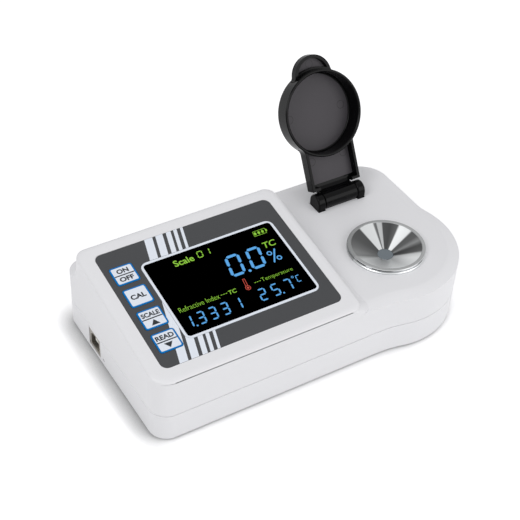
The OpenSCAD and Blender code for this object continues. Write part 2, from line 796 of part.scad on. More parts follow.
module display_screws() {
    color(steel_colour) on_pod() for (p = display_post_places)
        translate([p[0], p[1], display_board_z - board_t - board_screw_head_h])
            screw(board_screw_r, board_screw_head_r, board_screw_head_h, board_t + board_screw_grip - 4 * cut);
}

switch_w = 6;
switch_gap = 0.05;
peg_end = -(wall + label_t + 2 * stack_gap);
switch_top = peg_end - key_travel - switch_gap;
switch_cap_h = 1;
module key_switches() {
    color(black_colour) on_pod() key_places() {
        translate([-switch_w / 2, -switch_w / 2, display_board_z])
            cube([switch_w, switch_w, switch_top - switch_cap_h - display_board_z]);
        translate([0, 0, switch_top - switch_cap_h]) cylinder(r = key_peg_r * 3 / 4, h = switch_cap_h);
    }
}

key_corner_r = 0.9;
module key(i) {
    color(key_colour) on_pod() translate([key_column, key_first + i * key_pitch, 0]) {
        translate([-key_len / 2, -key_depth / 2, key_proud - key_t])
            round_plate(key_len, key_depth, key_corner_r, key_t);
        translate([0, 0, peg_end]) cylinder(r = key_peg_r, h = key_proud - key_t / 2 - peg_end);
    }
}
module key_read() { key(0); }
module key_scale() { key(1); }
module key_cal() { key(2); }
module key_on_off() { key(3); }

// Flat cable between the two boards, as a bent strip seen from the side
ribbon_t = 0.3;
ribbon_w = 16;
ribbon_y = 46;
ribbon_bow = 6;
module ribbon_cable() {
    top_z = pod_front_h + pod_slope * ribbon_y + (display_board_z - board_t) / cos(pod_tilt);
    low_z = main_board_z + board_t;
    mid_z = (top_z + low_z) / 2;
    color("#D8D8D0") translate([pod_len / 2, 0, 0]) rotate([90, 0, 90]) linear_extrude(ribbon_w)
        polygon([
            [ribbon_y, low_z], [ribbon_y + ribbon_bow, mid_z], [ribbon_y, top_z - ribbon_t],
            [ribbon_y + ribbon_t, top_z - ribbon_t], [ribbon_y + ribbon_bow + ribbon_t, mid_z],
            [ribbon_y + ribbon_t, low_z]
        ]);
}

// Steel sample well, one turned piece
rim_chamfer = 0.25;
rim_neck = 0.3;
seat_h = 2.2;
well_foot_z = prism_z - seat_h;
gasket_r = 0.7;
gasket_mid_r = prism_r + gasket_r + seat_gap;
module sample_well() {
    bore_r = prism_r + seat_gap;
    color(steel_colour) on_well() rotate_extrude(convexity = 4) polygon([
        [bore_r, well_foot_z], [bore_r, prism_z], [cone_r, rim_z - rim_chamfer], [cone_r + rim_chamfer, rim_z],
        [rim_r - rim_chamfer, rim_z], [rim_r, rim_z - rim_chamfer], [rim_r - rim_neck, deck_h + flange_h + rim_chamfer],
        [rim_r - rim_neck, deck_h + flange_h], [flange_r, deck_h + flange_h - rim_chamfer], [flange_r, deck_h],
        [well_body_r, deck_h], [well_body_r, well_foot_z]
    ]);
}

prism_low_r = prism_r + 2 * gasket_r + seat_gap + rim_neck;
prism_h = 6;
prism_foot_share = 0.45;
module prism() {
    shoulder = well_foot_z - 2 * gasket_r;
    color("#8FA6B8") on_well() {
        translate([0, 0, shoulder]) cylinder(r = prism_r, h = prism_z - shoulder);
        translate([0, prism_low_r, shoulder]) rotate([90, 0, 0]) linear_extrude(2 * prism_low_r)
            polygon([[-prism_low_r, 0], [-prism_low_r * prism_foot_share, -prism_h],
                [prism_low_r * prism_foot_share, -prism_h], [prism_low_r, 0]]);
    }
}

module prism_gasket() {
    color(black_colour) on_well() translate([0, 0, well_foot_z - gasket_r])
        rotate_extrude() translate([gasket_mid_r, 0]) circle(gasket_r, $fn = 24);
}

module well_nut() {
    nut_low = well_foot_z + gasket_r;
    color(steel_colour) on_well() translate([0, 0, nut_low]) difference() {
        cylinder(r = well_nut_r, h = deck_h - wall - nut_low);
        translate([0, 0, -cut]) cylinder(r = well_body_r + thread_gap, h = deck_h);
    }
}

// Optical block: a black box under the prism that holds the light and the sensor
block_w = 30;
block_d = 24;
block_gap = 0.2;
block_top = well_foot_z - block_gap;
block_wall = 3;
block_low = block_top - 2 * gasket_r - prism_h - block_wall;
prism_room_x = 2 * prism_low_r + 2 * block_gap;
module optics_block() {
    color(black_colour) on_well() difference() {
        translate([-block_w / 2, -block_d / 2, block_low]) cube([block_w, block_d, block_top - block_low]);
        translate([-prism_room_x / 2, -prism_room_x / 2, block_low + block_wall])
            cube([prism_room_x, prism_room_x, block_top]);
        // Light path to each side of the prism
        translate([0, 0, block_low + block_wall + prism_h / 2]) x_cylinder(block_wall / 2, block_w + 2 * cut);
    }
}

small_board_w = 16;
small_board_h = 8;
lamp_r = 1.4;
lamp_h = 2;
path_z = block_low + block_wall + prism_h / 2;
module light_board() {
    color(board_colour) on_well() {
        translate([-block_w / 2 - board_t, -small_board_w / 2, path_z - small_board_h / 2])
            cube([board_t, small_board_w, small_board_h]);
        translate([-block_w / 2 + lamp_h / 2, 0, path_z]) x_cylinder(lamp_r, lamp_h);
    }
}

sensor_w = 9;
sensor_h = 2.4;
sensor_t = 1;
module sensor_board() {
    color(board_colour) on_well() {
        translate([block_w / 2 + sensor_t, -small_board_w / 2, path_z - small_board_h / 2])
            cube([board_t, small_board_w, small_board_h]);
        translate([block_w / 2, -sensor_w / 2, path_z - sensor_h / 2]) cube([sensor_t, sensor_w, sensor_h]);
    }
}

probe_r = 1;
probe_len = 5;
module temperature_probe() {
    color("#C9B458") on_well() translate([0, well_body_r - 2 * probe_r, well_foot_z - probe_len])
        cylinder(r = probe_r, h = probe_len);
}

// Hinge: a floor in the deck pocket and two round-topped ears
pin_press = 0.01;
pin_run = 0.05;
module hinge_base() {
    color(black_colour) difference() {
        union() {
            translate([well_x - hinge_w / 2, hinge_y - knuckle_room + seat_gap, pocket_floor])
                cube([hinge_w, 2 * (knuckle_room - seat_gap), hinge_floor_t]);
            for (s = [-1, 1]) on_hinge() translate([s * hinge_screw_x, 0, 0]) {
                x_cylinder(ear_r, ear_t);
                translate([-ear_t / 2, -ear_r, pocket_floor - hinge_z]) cube([ear_t, 2 * ear_r, hinge_z - pocket_floor]);
            }
        }
        on_hinge() x_cylinder(pin_r + pin_press, hinge_w + 2 * cut);
        for (s = [-1, 1]) translate([well_x + s * hinge_screw_x, hinge_y, pocket_floor - cut])
            cylinder(r = hinge_screw_r + thread_gap, h = hinge_floor_t + 2 * cut);
    }
}

module hinge_screws() {
    head_z = pocket_floor - pocket_pad - hinge_screw_head_h;
    color(steel_colour) for (s = [-1, 1]) translate([well_x + s * hinge_screw_x, hinge_y, head_z])
        screw(hinge_screw_r, hinge_screw_head_r, hinge_screw_head_h, pocket_pad + hinge_floor_t + cut);
}

module hinge_pin() {
    color(steel_colour) on_hinge() x_cylinder(pin_r, hinge_w - 2 * seat_gap);
}

// Lid in its closed place: Y runs from the hinge axis away from the well, Z is up
cup_top_round = 2.4;
cup_draft = 0.3;
round_steps = 6;
knuckle_r = ear_r - 0.2;
knuckle_w = hinge_w - 2 * (ear_t + slide_gap);
// Half width of the slot in the deck that the knuckle turns in
knuckle_room = sqrt(pow(knuckle_r, 2) - pow(hinge_up, 2)) + slide_gap;
arm_low = 1.4;
arm_end_r = 5.6;
web_start = 0.6;
tab_wall = 2.3;
tab_floor = 1.3;

// Half section of the cup's outside or, moved in by the wall, of its inside
module cup_section(shift) {
    top = lid_top_w - shift;
    side = cup_r - cup_draft - shift;
    polygon(concat(
        [[0, lid_rim_w - (shift > 0 ? cut : 0)], [cup_r - shift, lid_rim_w - (shift > 0 ? cut : 0)]],
        arc([side - cup_top_round, top - cup_top_round], cup_top_round, 0, 90, round_steps),
        [[0, top]]
    ));
}

module cup_solid(shift) {
    translate([0, -hinge_reach, 0]) rotate_extrude() cup_section(shift);
}

module arm_solid() {
    arm_reach = hinge_reach - cup_r / 2;
    hollow_h = arm_low + arm_top - lid_wall + cut;
    difference() {
        translate([-arm_w / 2, -arm_reach, -arm_low]) cube([arm_w, arm_reach - web_start, arm_low + arm_top]);
        // Open underside between the side walls, and on to the knuckle between the ears
        translate([-arm_w / 2 + lid_wall, -arm_reach - cut, -arm_low - cut])
            cube([arm_w - 2 * lid_wall, arm_reach - arm_end_r - lid_wall + cut, hollow_h]);
        translate([-knuckle_w / 2, -arm_reach - cut, -arm_low - cut]) cube([knuckle_w, arm_reach + cut, hollow_h]);
        // Room for the ears
        for (s = [-1, 1]) translate([s > 0 ? knuckle_w / 2 : -arm_w / 2 - cut, -arm_end_r, -arm_low - cut])
            cube([(arm_w - knuckle_w) / 2 + cut, arm_end_r, arm_low + arm_top + 2 * cut]);
        cup_solid(0);
    }
}

module tab_outline(r) {
    centre = hinge_reach + tab_tip - tab_r;
    translate([0, -centre]) circle(r);
    translate([-r, -centre]) square([2 * r, tab_tip - tab_r]);
}

module lid_closed() {
    difference() {
        union() {
            cup_solid(0);
            translate([0, 0, lid_top_w - tab_drop - tab_t]) linear_extrude(tab_t) tab_outline(tab_r);
        }
        cup_solid(lid_wall);
        difference() {
            translate([0, 0, lid_top_w - tab_drop - tab_t - cut]) linear_extrude(tab_t - tab_floor + cut)
                tab_outline(tab_r - tab_wall);
            cup_solid(0);
        }
    }
    arm_solid();
}

module lid() {
    color(black_colour) on_hinge() rotate([-open_angle, 0, 0]) difference() {
        union() {
            lid_closed();
            x_cylinder(knuckle_r, knuckle_w);
        }
        x_cylinder(pin_r + pin_run, knuckle_w + 2 * cut);
    }
}

placed() lower_shell();
placed() upper_shell();
placed() rubber_feet();
placed() case_screws();
placed() battery_cover();
placed() battery();
placed() battery_snap();
placed() main_board();
placed() board_screws();
placed() processor_chip();
placed() usb_shell();
placed() usb_tongue();
placed() reset_switch();
placed() front_label();
placed() display_window();
placed() lcd_glass();
placed() lcd_backlight();
placed() lcd_holder();
placed() display_board();
placed() display_screws();
placed() key_switches();
placed() key_on_off();
placed() key_cal();
placed() key_scale();
placed() key_read();
placed() ribbon_cable();
placed() sample_well();
placed() prism();
placed() prism_gasket();
placed() well_nut();
placed() optics_block();
placed() light_board();
placed() sensor_board();
placed() temperature_probe();
placed() hinge_base();
placed() hinge_screws();
placed() hinge_pin();
placed() lid();
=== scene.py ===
"""A bench-top digital refractometer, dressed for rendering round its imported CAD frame.

The case, label, keys, display, sample well, hinge and lid are built here in millimetres, in the
case's own coordinates (X from the left wall, Y from the front wall, Z from the table), and are
moved into the frame's metres when each mesh is finished.
"""

from __future__ import annotations

import json
import logging
import math
from dataclasses import dataclass
from enum import Enum

import bmesh
import bpy
from mathutils import Matrix, Vector
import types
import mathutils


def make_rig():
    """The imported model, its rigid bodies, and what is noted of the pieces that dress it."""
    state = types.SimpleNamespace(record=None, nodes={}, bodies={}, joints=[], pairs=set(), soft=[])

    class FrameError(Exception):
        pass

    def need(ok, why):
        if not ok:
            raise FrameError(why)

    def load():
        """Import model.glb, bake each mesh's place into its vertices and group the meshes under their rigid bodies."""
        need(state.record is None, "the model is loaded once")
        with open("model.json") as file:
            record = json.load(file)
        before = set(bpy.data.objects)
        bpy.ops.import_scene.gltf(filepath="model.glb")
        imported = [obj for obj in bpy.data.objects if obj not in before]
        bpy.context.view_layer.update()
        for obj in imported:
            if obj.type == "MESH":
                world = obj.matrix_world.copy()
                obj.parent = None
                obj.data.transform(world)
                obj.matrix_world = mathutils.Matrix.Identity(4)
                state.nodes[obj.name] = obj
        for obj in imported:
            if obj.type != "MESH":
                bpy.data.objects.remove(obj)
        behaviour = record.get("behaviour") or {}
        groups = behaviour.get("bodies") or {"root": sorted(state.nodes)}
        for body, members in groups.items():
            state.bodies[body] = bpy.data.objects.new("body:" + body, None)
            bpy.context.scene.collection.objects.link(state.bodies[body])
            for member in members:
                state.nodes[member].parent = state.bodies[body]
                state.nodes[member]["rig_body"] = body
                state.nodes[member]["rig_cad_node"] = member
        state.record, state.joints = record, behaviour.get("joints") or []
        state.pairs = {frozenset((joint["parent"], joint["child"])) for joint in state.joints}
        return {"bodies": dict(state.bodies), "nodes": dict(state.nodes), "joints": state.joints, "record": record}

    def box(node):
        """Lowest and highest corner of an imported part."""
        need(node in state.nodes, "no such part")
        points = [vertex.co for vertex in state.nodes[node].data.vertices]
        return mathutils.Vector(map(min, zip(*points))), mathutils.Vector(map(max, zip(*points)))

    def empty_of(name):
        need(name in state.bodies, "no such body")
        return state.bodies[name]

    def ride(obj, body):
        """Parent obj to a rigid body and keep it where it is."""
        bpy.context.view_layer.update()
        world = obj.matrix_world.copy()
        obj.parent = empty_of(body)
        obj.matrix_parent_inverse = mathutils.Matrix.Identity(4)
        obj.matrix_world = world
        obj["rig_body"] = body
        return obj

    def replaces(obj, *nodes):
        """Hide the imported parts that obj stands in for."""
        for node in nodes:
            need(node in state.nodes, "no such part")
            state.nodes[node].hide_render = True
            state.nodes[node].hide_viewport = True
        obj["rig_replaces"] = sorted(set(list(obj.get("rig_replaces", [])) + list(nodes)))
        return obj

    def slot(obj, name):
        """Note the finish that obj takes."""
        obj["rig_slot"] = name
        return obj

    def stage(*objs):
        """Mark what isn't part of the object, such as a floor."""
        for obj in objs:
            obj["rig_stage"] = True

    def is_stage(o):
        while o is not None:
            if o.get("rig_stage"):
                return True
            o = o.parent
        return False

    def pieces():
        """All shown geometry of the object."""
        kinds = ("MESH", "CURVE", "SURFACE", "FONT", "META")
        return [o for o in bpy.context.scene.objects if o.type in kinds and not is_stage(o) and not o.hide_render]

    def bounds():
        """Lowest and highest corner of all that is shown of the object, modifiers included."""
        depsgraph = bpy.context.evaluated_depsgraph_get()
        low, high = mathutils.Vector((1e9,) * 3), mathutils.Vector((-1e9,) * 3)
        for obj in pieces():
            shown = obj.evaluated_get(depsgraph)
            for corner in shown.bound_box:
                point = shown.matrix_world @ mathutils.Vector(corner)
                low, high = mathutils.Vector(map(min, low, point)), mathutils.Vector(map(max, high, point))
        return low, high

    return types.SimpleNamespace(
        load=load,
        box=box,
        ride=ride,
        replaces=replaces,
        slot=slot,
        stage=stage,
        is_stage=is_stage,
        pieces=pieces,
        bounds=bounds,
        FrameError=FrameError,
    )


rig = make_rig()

log = logging.getLogger("refractometer")

MM = 0.001
# Width of the soft clouds that make a plain surface uneven, and of the cells of a lit segment
CLOUD_MM = 25
CELL_MM = 3


class Body(str, Enum):
    """The CAD bodies that pieces ride on."""

    CASE = "case"
    LID = "lid"
    ON_OFF = "key_on_off"
    CAL = "key_cal"
    SCALE = "key_scale"
    READ = "key_read"


class Ink(str, Enum):
    """The colours that the display can light up in."""

    BLUE = "#4FB4FF"
    GREEN = "#93DC0A"
    RED = "#D83A1C"


# Nodes and materials


def linear(hex_colour: str) -> tuple[float, float, float, float]:
    """Turns an sRGB hex colour into the linear values that Blender's sockets take.

    Args:
        hex_colour: A colour such as "#E2E8F0".

    Returns:
        Linear red, green, blue and an alpha of 1.
    """
    parts = [int(hex_colour[i : i + 2], 16) / 255 for i in (1, 3, 5)]
    red, green, blue = (p / 12.92 if p <= 0.04045 else ((p + 0.055) / 1.055) ** 2.4 for p in parts)
    return red, green, blue, 1.0


def add_node(
    tree: bpy.types.NodeTree, kind: str, settings: dict | None = None, inputs: dict | None = None
) -> bpy.types.Node:
    """Adds a node with its settings and its inputs.

    Args:
        tree: The tree that gets the node.
        kind: The node's type name.
        settings: Properties of the node and their values.
        inputs: Socket names or numbers, each with a value or an output socket to link from.

    Returns:
        The new node.
    """
    node = tree.nodes.new(kind)
    for name, value in (settings or {}).items():
        setattr(node, name, value)
    for key, value in (inputs or {}).items():
        if isinstance(value, bpy.types.NodeSocket):
            tree.links.new(value, node.inputs[key])
        else:
            node.inputs[key].default_value = value
    return node


@dataclass(frozen=True)
class Finish:
    """A moulded plastic or other plain surface with fine grain.

    The grain is a noise of the given size that lifts the surface a little and makes the gloss uneven.
    """

    name: str
    colour: str
    roughness: float = 0.4
    metallic: float = 0.0
    specular: float = 0.5
    grain_mm: float = 0.6
    grain_lift: float = 0.05
    mottle: float = 0.04
    gloss_spread: float = 0.06
    coat: float = 0.0
    transmission: float = 0.0

    def coordinates(self, tree: bpy.types.NodeTree) -> bpy.types.NodeSocket:
        """Gives the piece's own coordinates."""
        return add_node(tree, "ShaderNodeTexCoord").outputs["Object"]

    def height(self, tree: bpy.types.NodeTree, place: bpy.types.NodeSocket) -> bpy.types.NodeSocket:
        """Makes the pattern that lifts the surface.

        Args:
            tree: The material's tree.
            place: The coordinates.

        Returns:
            A height between 0 and 1.
        """
        scale = 1 / (self.grain_mm * MM)
        grain = add_node(tree, "ShaderNodeTexNoise", inputs={"Vector": place, "Scale": scale, "Detail": 3.0})
        return grain.outputs["Fac"]

    def tint(self, tree: bpy.types.NodeTree, place: bpy.types.NodeSocket) -> bpy.types.NodeSocket:
        """Makes the colour, a little darker in wide soft clouds.

        Args:
            tree: The material's tree.
            place: The coordinates.

        Returns:
            The colour.
        """
        scale = 1 / (CLOUD_MM * MM)
        cloud = add_node(tree, "ShaderNodeTexNoise", inputs={"Vector": place, "Scale": scale, "Detail": 2.0})
        dark = tuple(c * (1 - self.mottle) for c in linear(self.colour)[:3]) + (1.0,)
        colour = add_node(
            tree,
            "ShaderNodeMix",
            {"data_type": "RGBA"},
            {"Factor": cloud.outputs["Fac"], "A": dark, "B": linear(self.colour)},
        )
        return colour.outputs[2]

    def build(self) -> bpy.types.Material:
        """Builds the material.

        Returns:
            The material, made once and shared by every piece that has this finish.
        """
        found = bpy.data.materials.get(self.name)
        if found:
            return found
        material = bpy.data.materials.new(self.name)
        material.use_nodes = True
        tree = material.node_tree
        tree.nodes.clear()
        place = self.coordinates(tree)
        height = self.height(tree, place)
        gloss = add_node(
            tree,
            "ShaderNodeMapRange",
            inputs={
                "Value": height,
                "To Min": max(self.roughness - self.gloss_spread, 0.0),
                "To Max": self.roughness + self.gloss_spread,
            },
        )
        bump = add_node(
            tree,
            "ShaderNodeBump",
            inputs={"Height": height, "Strength": self.grain_lift, "Distance": self.grain_mm * MM},
        )
        shader = add_node(
            tree,
            "ShaderNodeBsdfPrincipled",
            inputs={
                "Base Color": self.tint(tree, place),
                "Roughness": gloss.outputs["Result"],
                "Metallic": self.metallic,
                "Specular IOR Level": self.specular,
                "Coat Weight": self.coat,
                "Transmission Weight": self.transmission,
                "Normal": bump.outputs["Normal"],
            },
        )
        add_node(tree, "ShaderNodeOutputMaterial", inputs={"Surface": shader.outputs["BSDF"]})
        return material


@dataclass(frozen=True)
class TurnedSteel(Finish):
    """Stainless steel turned on a lathe: fine rings round the axis as bumps, and a painted reflection in the colour.

    Each stop is an angle round the axis in degrees and how bright the painted reflection makes the steel there: bright
    and dark wedge shapes where the turned rings would catch the light or mirror the dark.
    """

    axis_x: float = 0.0
    axis_y: float = 0.0
    ring_mm: float = 0.4
    # Painted reflection: stops of (angle round the axis in degrees, brightness) that scale the steel's colour
    painted_reflection_stops: tuple[tuple[float, float], ...] = ((0.0, 1.0),)

    def coordinates(self, tree: bpy.types.NodeTree) -> bpy.types.NodeSocket:
        """Gives coordinates measured from the turning axis.

        Args:
            tree: The material's tree.

        Returns:
            The object's own coordinates, moved to the axis.
        """
        place = add_node(tree, "ShaderNodeTexCoord").outputs["Object"]
        return add_node(
            tree,
            "ShaderNodeMapping",
            {"vector_type": "POINT"},
            {"Vector": place, "Location": (-self.axis_x, -self.axis_y, 0.0)},
        ).outputs["Vector"]

    def height(self, tree: bpy.types.NodeTree, place: bpy.types.NodeSocket) -> bpy.types.NodeSocket:
        """Makes rings round the turning axis.

        Args:
            tree: The material's tree.
            place: The coordinates.

        Returns:
            A height between 0 and 1.
        """
        rings = add_node(
            tree,
            "ShaderNodeTexWave",
            {"wave_type": "RINGS", "rings_direction": "Z"},
            {"Vector": place, "Scale": 2 * math.pi / (20 * self.ring_mm * MM), "Distortion": 0.4},
        )
        return rings.outputs["Fac"]

    def tint(self, tree: bpy.types.NodeTree, place: bpy.types.NodeSocket) -> bpy.types.NodeSocket:
        """Paints a reflection into the colour: bright and dark wedge shapes by the angle round the axis.

        Args:
            tree: The material's tree.
            place: The coordinates.

        Returns:
            The steel's colour with the painted reflection.
        """
        axes = add_node(tree, "ShaderNodeSeparateXYZ", inputs={"Vector": place})
        angle = add_node(
            tree, "ShaderNodeMath", {"operation": "ARCTAN2"}, {0: axes.outputs["Y"], 1: axes.outputs["X"]}
        )
        share = add_node(
            tree,
            "ShaderNodeMapRange",
            inputs={"Value": angle.outputs[0], "From Min": -math.pi, "From Max": math.pi},
        )
        ramp = add_node(tree, "ShaderNodeValToRGB", inputs={"Fac": share.outputs["Result"]})
        stops = ramp.color_ramp.elements
        base = linear(self.colour)
        # Each stop scales the colour: a painted highlight where bright, a painted dark reflection where dim
        for index, (degrees, light) in enumerate(sorted(self.painted_reflection_stops)):
            position = (degrees + 180) / 360
            stop = stops[index] if index < 2 else stops.new(position)
            stop.position = position
            stop.color = tuple(c * light for c in base[:3]) + (1.0,)
        return ramp.outputs["Color"]


@dataclass(frozen=True)
class LitInk:
    """A display segment: it glows a little in its own colour."""

    ink: Ink
    glow: float = 0.75

    def build(self) -> bpy.types.Material:
        """Builds the material.

        Returns:
            The glowing material.
        """
        name = f"lit_segment_{self.ink.name.lower()}"
        found = bpy.data.materials.get(name)
        if found:
            return found
        material = bpy.data.materials.new(name)
        material.use_nodes = True
        tree = material.node_tree
        tree.nodes.clear()
        place = add_node(tree, "ShaderNodeTexCoord").outputs["Object"]
        cells = add_node(tree, "ShaderNodeTexNoise", inputs={"Vector": place, "Scale": 1 / (CELL_MM * MM)})
        colour = linear(self.ink.value)
        dim = tuple(c * 0.93 for c in colour[:3]) + (1.0,)
        tint = add_node(
            tree,
            "ShaderNodeMix",
            {"data_type": "RGBA"},
            {"Factor": cells.outputs["Fac"], "A": dim, "B": colour},
        )
        shader = add_node(
            tree,
            "ShaderNodeBsdfPrincipled",
            inputs={
                "Base Color": (0.0, 0.0, 0.0, 1.0),
                "Roughness": 0.4,
                "Emission Color": tint.outputs[2],
                "Emission Strength": self.glow,
            },
        )
        add_node(tree, "ShaderNodeOutputMaterial", inputs={"Surface": shader.outputs["BSDF"]})
        return material


# Light grey ABS with a fine spark-eroded texture: soft, wide highlights
SHELL_ABS = Finish("moulded_abs_light_grey", "#E5E5E7", 0.42, grain_mm=0.35, grain_lift=0.04, mottle=0.015)
# Black ABS from a polished mould: deep black walls with sharp sheens on their round edges
LID_PLASTIC = Finish(
    "moulded_plastic_black",
    "#070708",
    0.2,
    specular=0.1,
    grain_mm=1.6,
    grain_lift=0.01,
    mottle=0.2,
    gloss_spread=0.03,
)
# The same plastic from a spark-eroded mould face: a real satin face, with a lighter grey colour than the polished
# black as a painted sheen
LID_TEXTURE_PAINTED_SHEEN = Finish(
    "moulded_plastic_black_textured_painted_sheen", "#454246", 0.55, specular=0.3, grain_mm=0.3, grain_lift=0.12, mottle=0.12
)
# The round face that an ejector pin leaves: a slightly darker outline
EJECTOR_MARK = Finish("moulded_plastic_black_pin_mark", "#242325", 0.5, specular=0.3, grain_mm=0.3, mottle=0.1)
INNER_BLACK = Finish("moulded_plastic_inner_black", "#19191B", 0.5)
INNER_WHITE = Finish("moulded_plastic_inner_white", "#EDEDE6", 0.5)
FOOT_RUBBER = Finish("moulded_rubber_black", "#202022", 0.8, grain_mm=0.3, grain_lift=0.15)
ZINC_STEEL = Finish("zinc_plated_steel", "#B8BABC", 0.35, 1.0, grain_mm=0.2)
NICKEL_SHEET = Finish("nickel_plated_sheet", "#A6A19A", 0.38, 1.0, grain_mm=0.8)
BRASS_ROD = Finish("drawn_brass", "#C9A75B", 0.3, 1.0)
# Polyester film printed from behind: satin, nearly even
LABEL_FILM = Finish(
    "printed_film_dark_grey", "#494A4C", 0.5, specular=0.15, grain_mm=0.3, grain_lift=0.02, mottle=0.03
)
PALE_PRINT = Finish("printed_film_pale", "#E3E9F2", 0.45, grain_mm=0.3, grain_lift=0.02, mottle=0.01)
BLUE_PRINT = Finish(
    "printed_film_blue", "#0074BE", 0.5, specular=0.1, grain_mm=0.3, grain_lift=0.02, mottle=0.03
)
DARK_PRINT = Finish(
    "printed_film_charcoal", "#2E3236", 0.5, specular=0.15, grain_mm=0.3, grain_lift=0.02, mottle=0.03
)
# Smoked acrylic with an anti-glare coat: nearly no reflection over a black cell
WINDOW_ACRYLIC = Finish(
    "display_window_acrylic", "#000000", 0.12, specular=0.0, grain_mm=5.0, grain_lift=0.0, gloss_spread=0.01
)
PRISM_GLASS = Finish(
    "polished_prism_glass", "#6A7278", 0.06, 0.6, grain_mm=4.0, grain_lift=0.0, gloss_spread=0.01
)
BOARD_LAMINATE = Finish("board_laminate_green", "#1F6B3A", 0.4, grain_mm=1.2, grain_lift=0.1, mottle=0.3)
BATTERY_JACKET = Finish("battery_jacket_film", "#34404C", 0.35)
RIBBON_FILM = Finish("ribbon_cable_film", "#D8D8D0", 0.5, grain_mm=1.0, grain_lift=0.2)
DISPLAY_GLASS = Finish("display_cell_glass", "#20242A", 0.1, grain_mm=4.0, grain_lift=0.0)


# Meshes


def smooth(mesh: bpy.types.Mesh, angle: float = 32.0) -> bpy.types.Mesh:
    """Shades a mesh smooth, with sharp edges where its faces meet at more than an angle.

    Args:
        mesh: The mesh.
        angle: The angle in degrees.

    Returns:
        The same mesh.
    """
    work = bmesh.new()
    work.from_mesh(mesh)
    for face in work.faces:
        face.smooth = True
    for edge in work.edges:
        edge.smooth = len(edge.link_faces) == 2 and edge.calc_face_angle(0.0) < math.radians(angle)
    work.to_mesh(mesh)
    work.free()
    return mesh


def closed_skin(rings: list[list[Vector]]) -> bpy.types.Mesh:
    """Joins rings of as many points each into a closed skin.

    Args:
        rings: The rings, the lowest first, each counter-clockwise seen from above.

    Returns:
        A mesh whose faces point outwards.
    """
    count = len(rings[0])
    points = [point for ring in rings for point in ring]
    faces = [list(reversed(range(count)))]
    for k in range(len(rings) - 1):
        for i in range(count):
            j = (i + 1) % count
            faces.append([k * count + i, k * count + j, (k + 1) * count + j, (k + 1) * count + i])
    faces.append([(len(rings) - 1) * count + i for i in range(count)])
    mesh = bpy.data.meshes.new("skin")
    mesh.from_pydata(points, [], faces)
    mesh.validate()
    return mesh


def lathe(profile: list[tuple[float, float]], steps: int = 144) -> bpy.types.Mesh:
    """Turns a closed profile of (radius, height) round the Z axis.

    Args:
        profile: The profile's points, counter-clockwise in the radius and height plane.
        steps: Steps round the axis.

    Returns:
        A closed mesh whose faces point outwards.
    """
    points: list[tuple[float, float, float]] = []
    rows: list[list[int]] = []
    for radius, height in profile:
        if radius == 0:
            rows.append([len(points)] * steps)
            points.append((0.0, 0.0, height))
            continue
        rows.append(list(range(len(points), len(points) + steps)))
        for i in range(steps):
            turn = 2 * math.pi * i / steps
            points.append((radius * math.cos(turn), radius * math.sin(turn), height))
    faces = []
    for a, b in zip(rows, rows[1:] + rows[:1]):
        for i in range(steps):
            j = (i + 1) % steps
            face = list(dict.fromkeys([a[i], a[j], b[j], b[i]]))
            if len(face) > 2:
                faces.append(face)
    mesh = bpy.data.meshes.new("lathe")
    mesh.from_pydata(points, [], faces)
    mesh.validate()
    return mesh


def arc(
    centre: tuple[float, float], radius: float, start: float, end: float, steps: int
) -> list[tuple[float, float]]:
    """Gives points on an arc.

    Args:
        centre: The arc's centre.
        radius: Its radius.
        start: The first angle in degrees.
        end: The last angle in degrees.
        steps: How many steps it takes.

    Returns:
        One point more than there are steps.
    """
    turns = [math.radians(start + (end - start) * i / steps) for i in range(steps + 1)]
    return [(centre[0] + radius * math.cos(t), centre[1] + radius * math.sin(t)) for t in turns]


def round_box(x: float, y: float, w: float, d: float, r: float, steps: int = 8) -> list[tuple[float, float]]:
    """Outlines a rectangle with round corners.

    Args:
        x: Its left side.
        y: Its front side.
        w: Its width.
        d: Its depth.
        r: The corner radius.
        steps: Steps in each corner.

    Returns:
        The outline, counter-clockwise.
    """
    return (
        arc((x + r, y + r), r, 180, 270, steps)
        + arc((x + w - r, y + r), r, 270, 360, steps)
        + arc((x + w - r, y + d - r), r, 0, 90, steps)
        + arc((x + r, y + d - r), r, 90, 180, steps)
    )


def area(outline: list[tuple[float, float]]) -> float:
    """Gives an outline's area, below zero when it runs clockwise."""
    return sum(a[0] * b[1] - b[0] * a[1] for a, b in zip(outline, outline[1:] + outline[:1])) / 2


def slab(outline: list[tuple[float, float]], low: float, high: float) -> bpy.types.Mesh:
    """Raises an outline into a flat slab.

    Args:
        outline: A counter-clockwise outline.
        low: The height of its underside.
        high: The height of its top.

    Returns:
        A closed mesh.
    """
    return closed_skin([[Vector((x, y, z)) for x, y in outline] for z in (low, high)])


def box_mesh(low: tuple[float, float, float], high: tuple[float, float, float]) -> bpy.types.Mesh:
    """Makes a box between two corners."""
    outline = [(low[0], low[1]), (high[0], low[1]), (high[0], high[1]), (low[0], high[1])]
    return slab(outline, low[2], high[2])


def rod(radius: float, low: float, high: float, steps: int = 48) -> bpy.types.Mesh:
    """Makes a cylinder on the Z axis."""
    return lathe([(0, low), (radius, low), (radius, high), (0, high)], steps)


def moved(mesh: bpy.types.Mesh, matrix: Matrix) -> bpy.types.Mesh:
    """Moves a mesh's points and gives it back."""
    mesh.transform(matrix)
    return mesh


def shift(x: float = 0.0, y: float = 0.0, z: float = 0.0) -> Matrix:
    """Gives a move along the axes."""
    return Matrix.Translation((x, y, z))


def turn(degrees: float, axis: str) -> Matrix:
    """Gives a turn about an axis through the origin."""
    return Matrix.Rotation(math.radians(degrees), 4, axis)


def joined(meshes: list[bpy.types.Mesh]) -> bpy.types.Mesh:
    """Puts several meshes into one.

    Args:
        meshes: The meshes, which are removed.

    Returns:
        The joined mesh.
    """
    work = bmesh.new()
    for mesh in meshes:
        work.from_mesh(mesh)
        bpy.data.meshes.remove(mesh)
    result = bpy.data.meshes.new("joined")
    work.to_mesh(result)
    work.free()
    return result


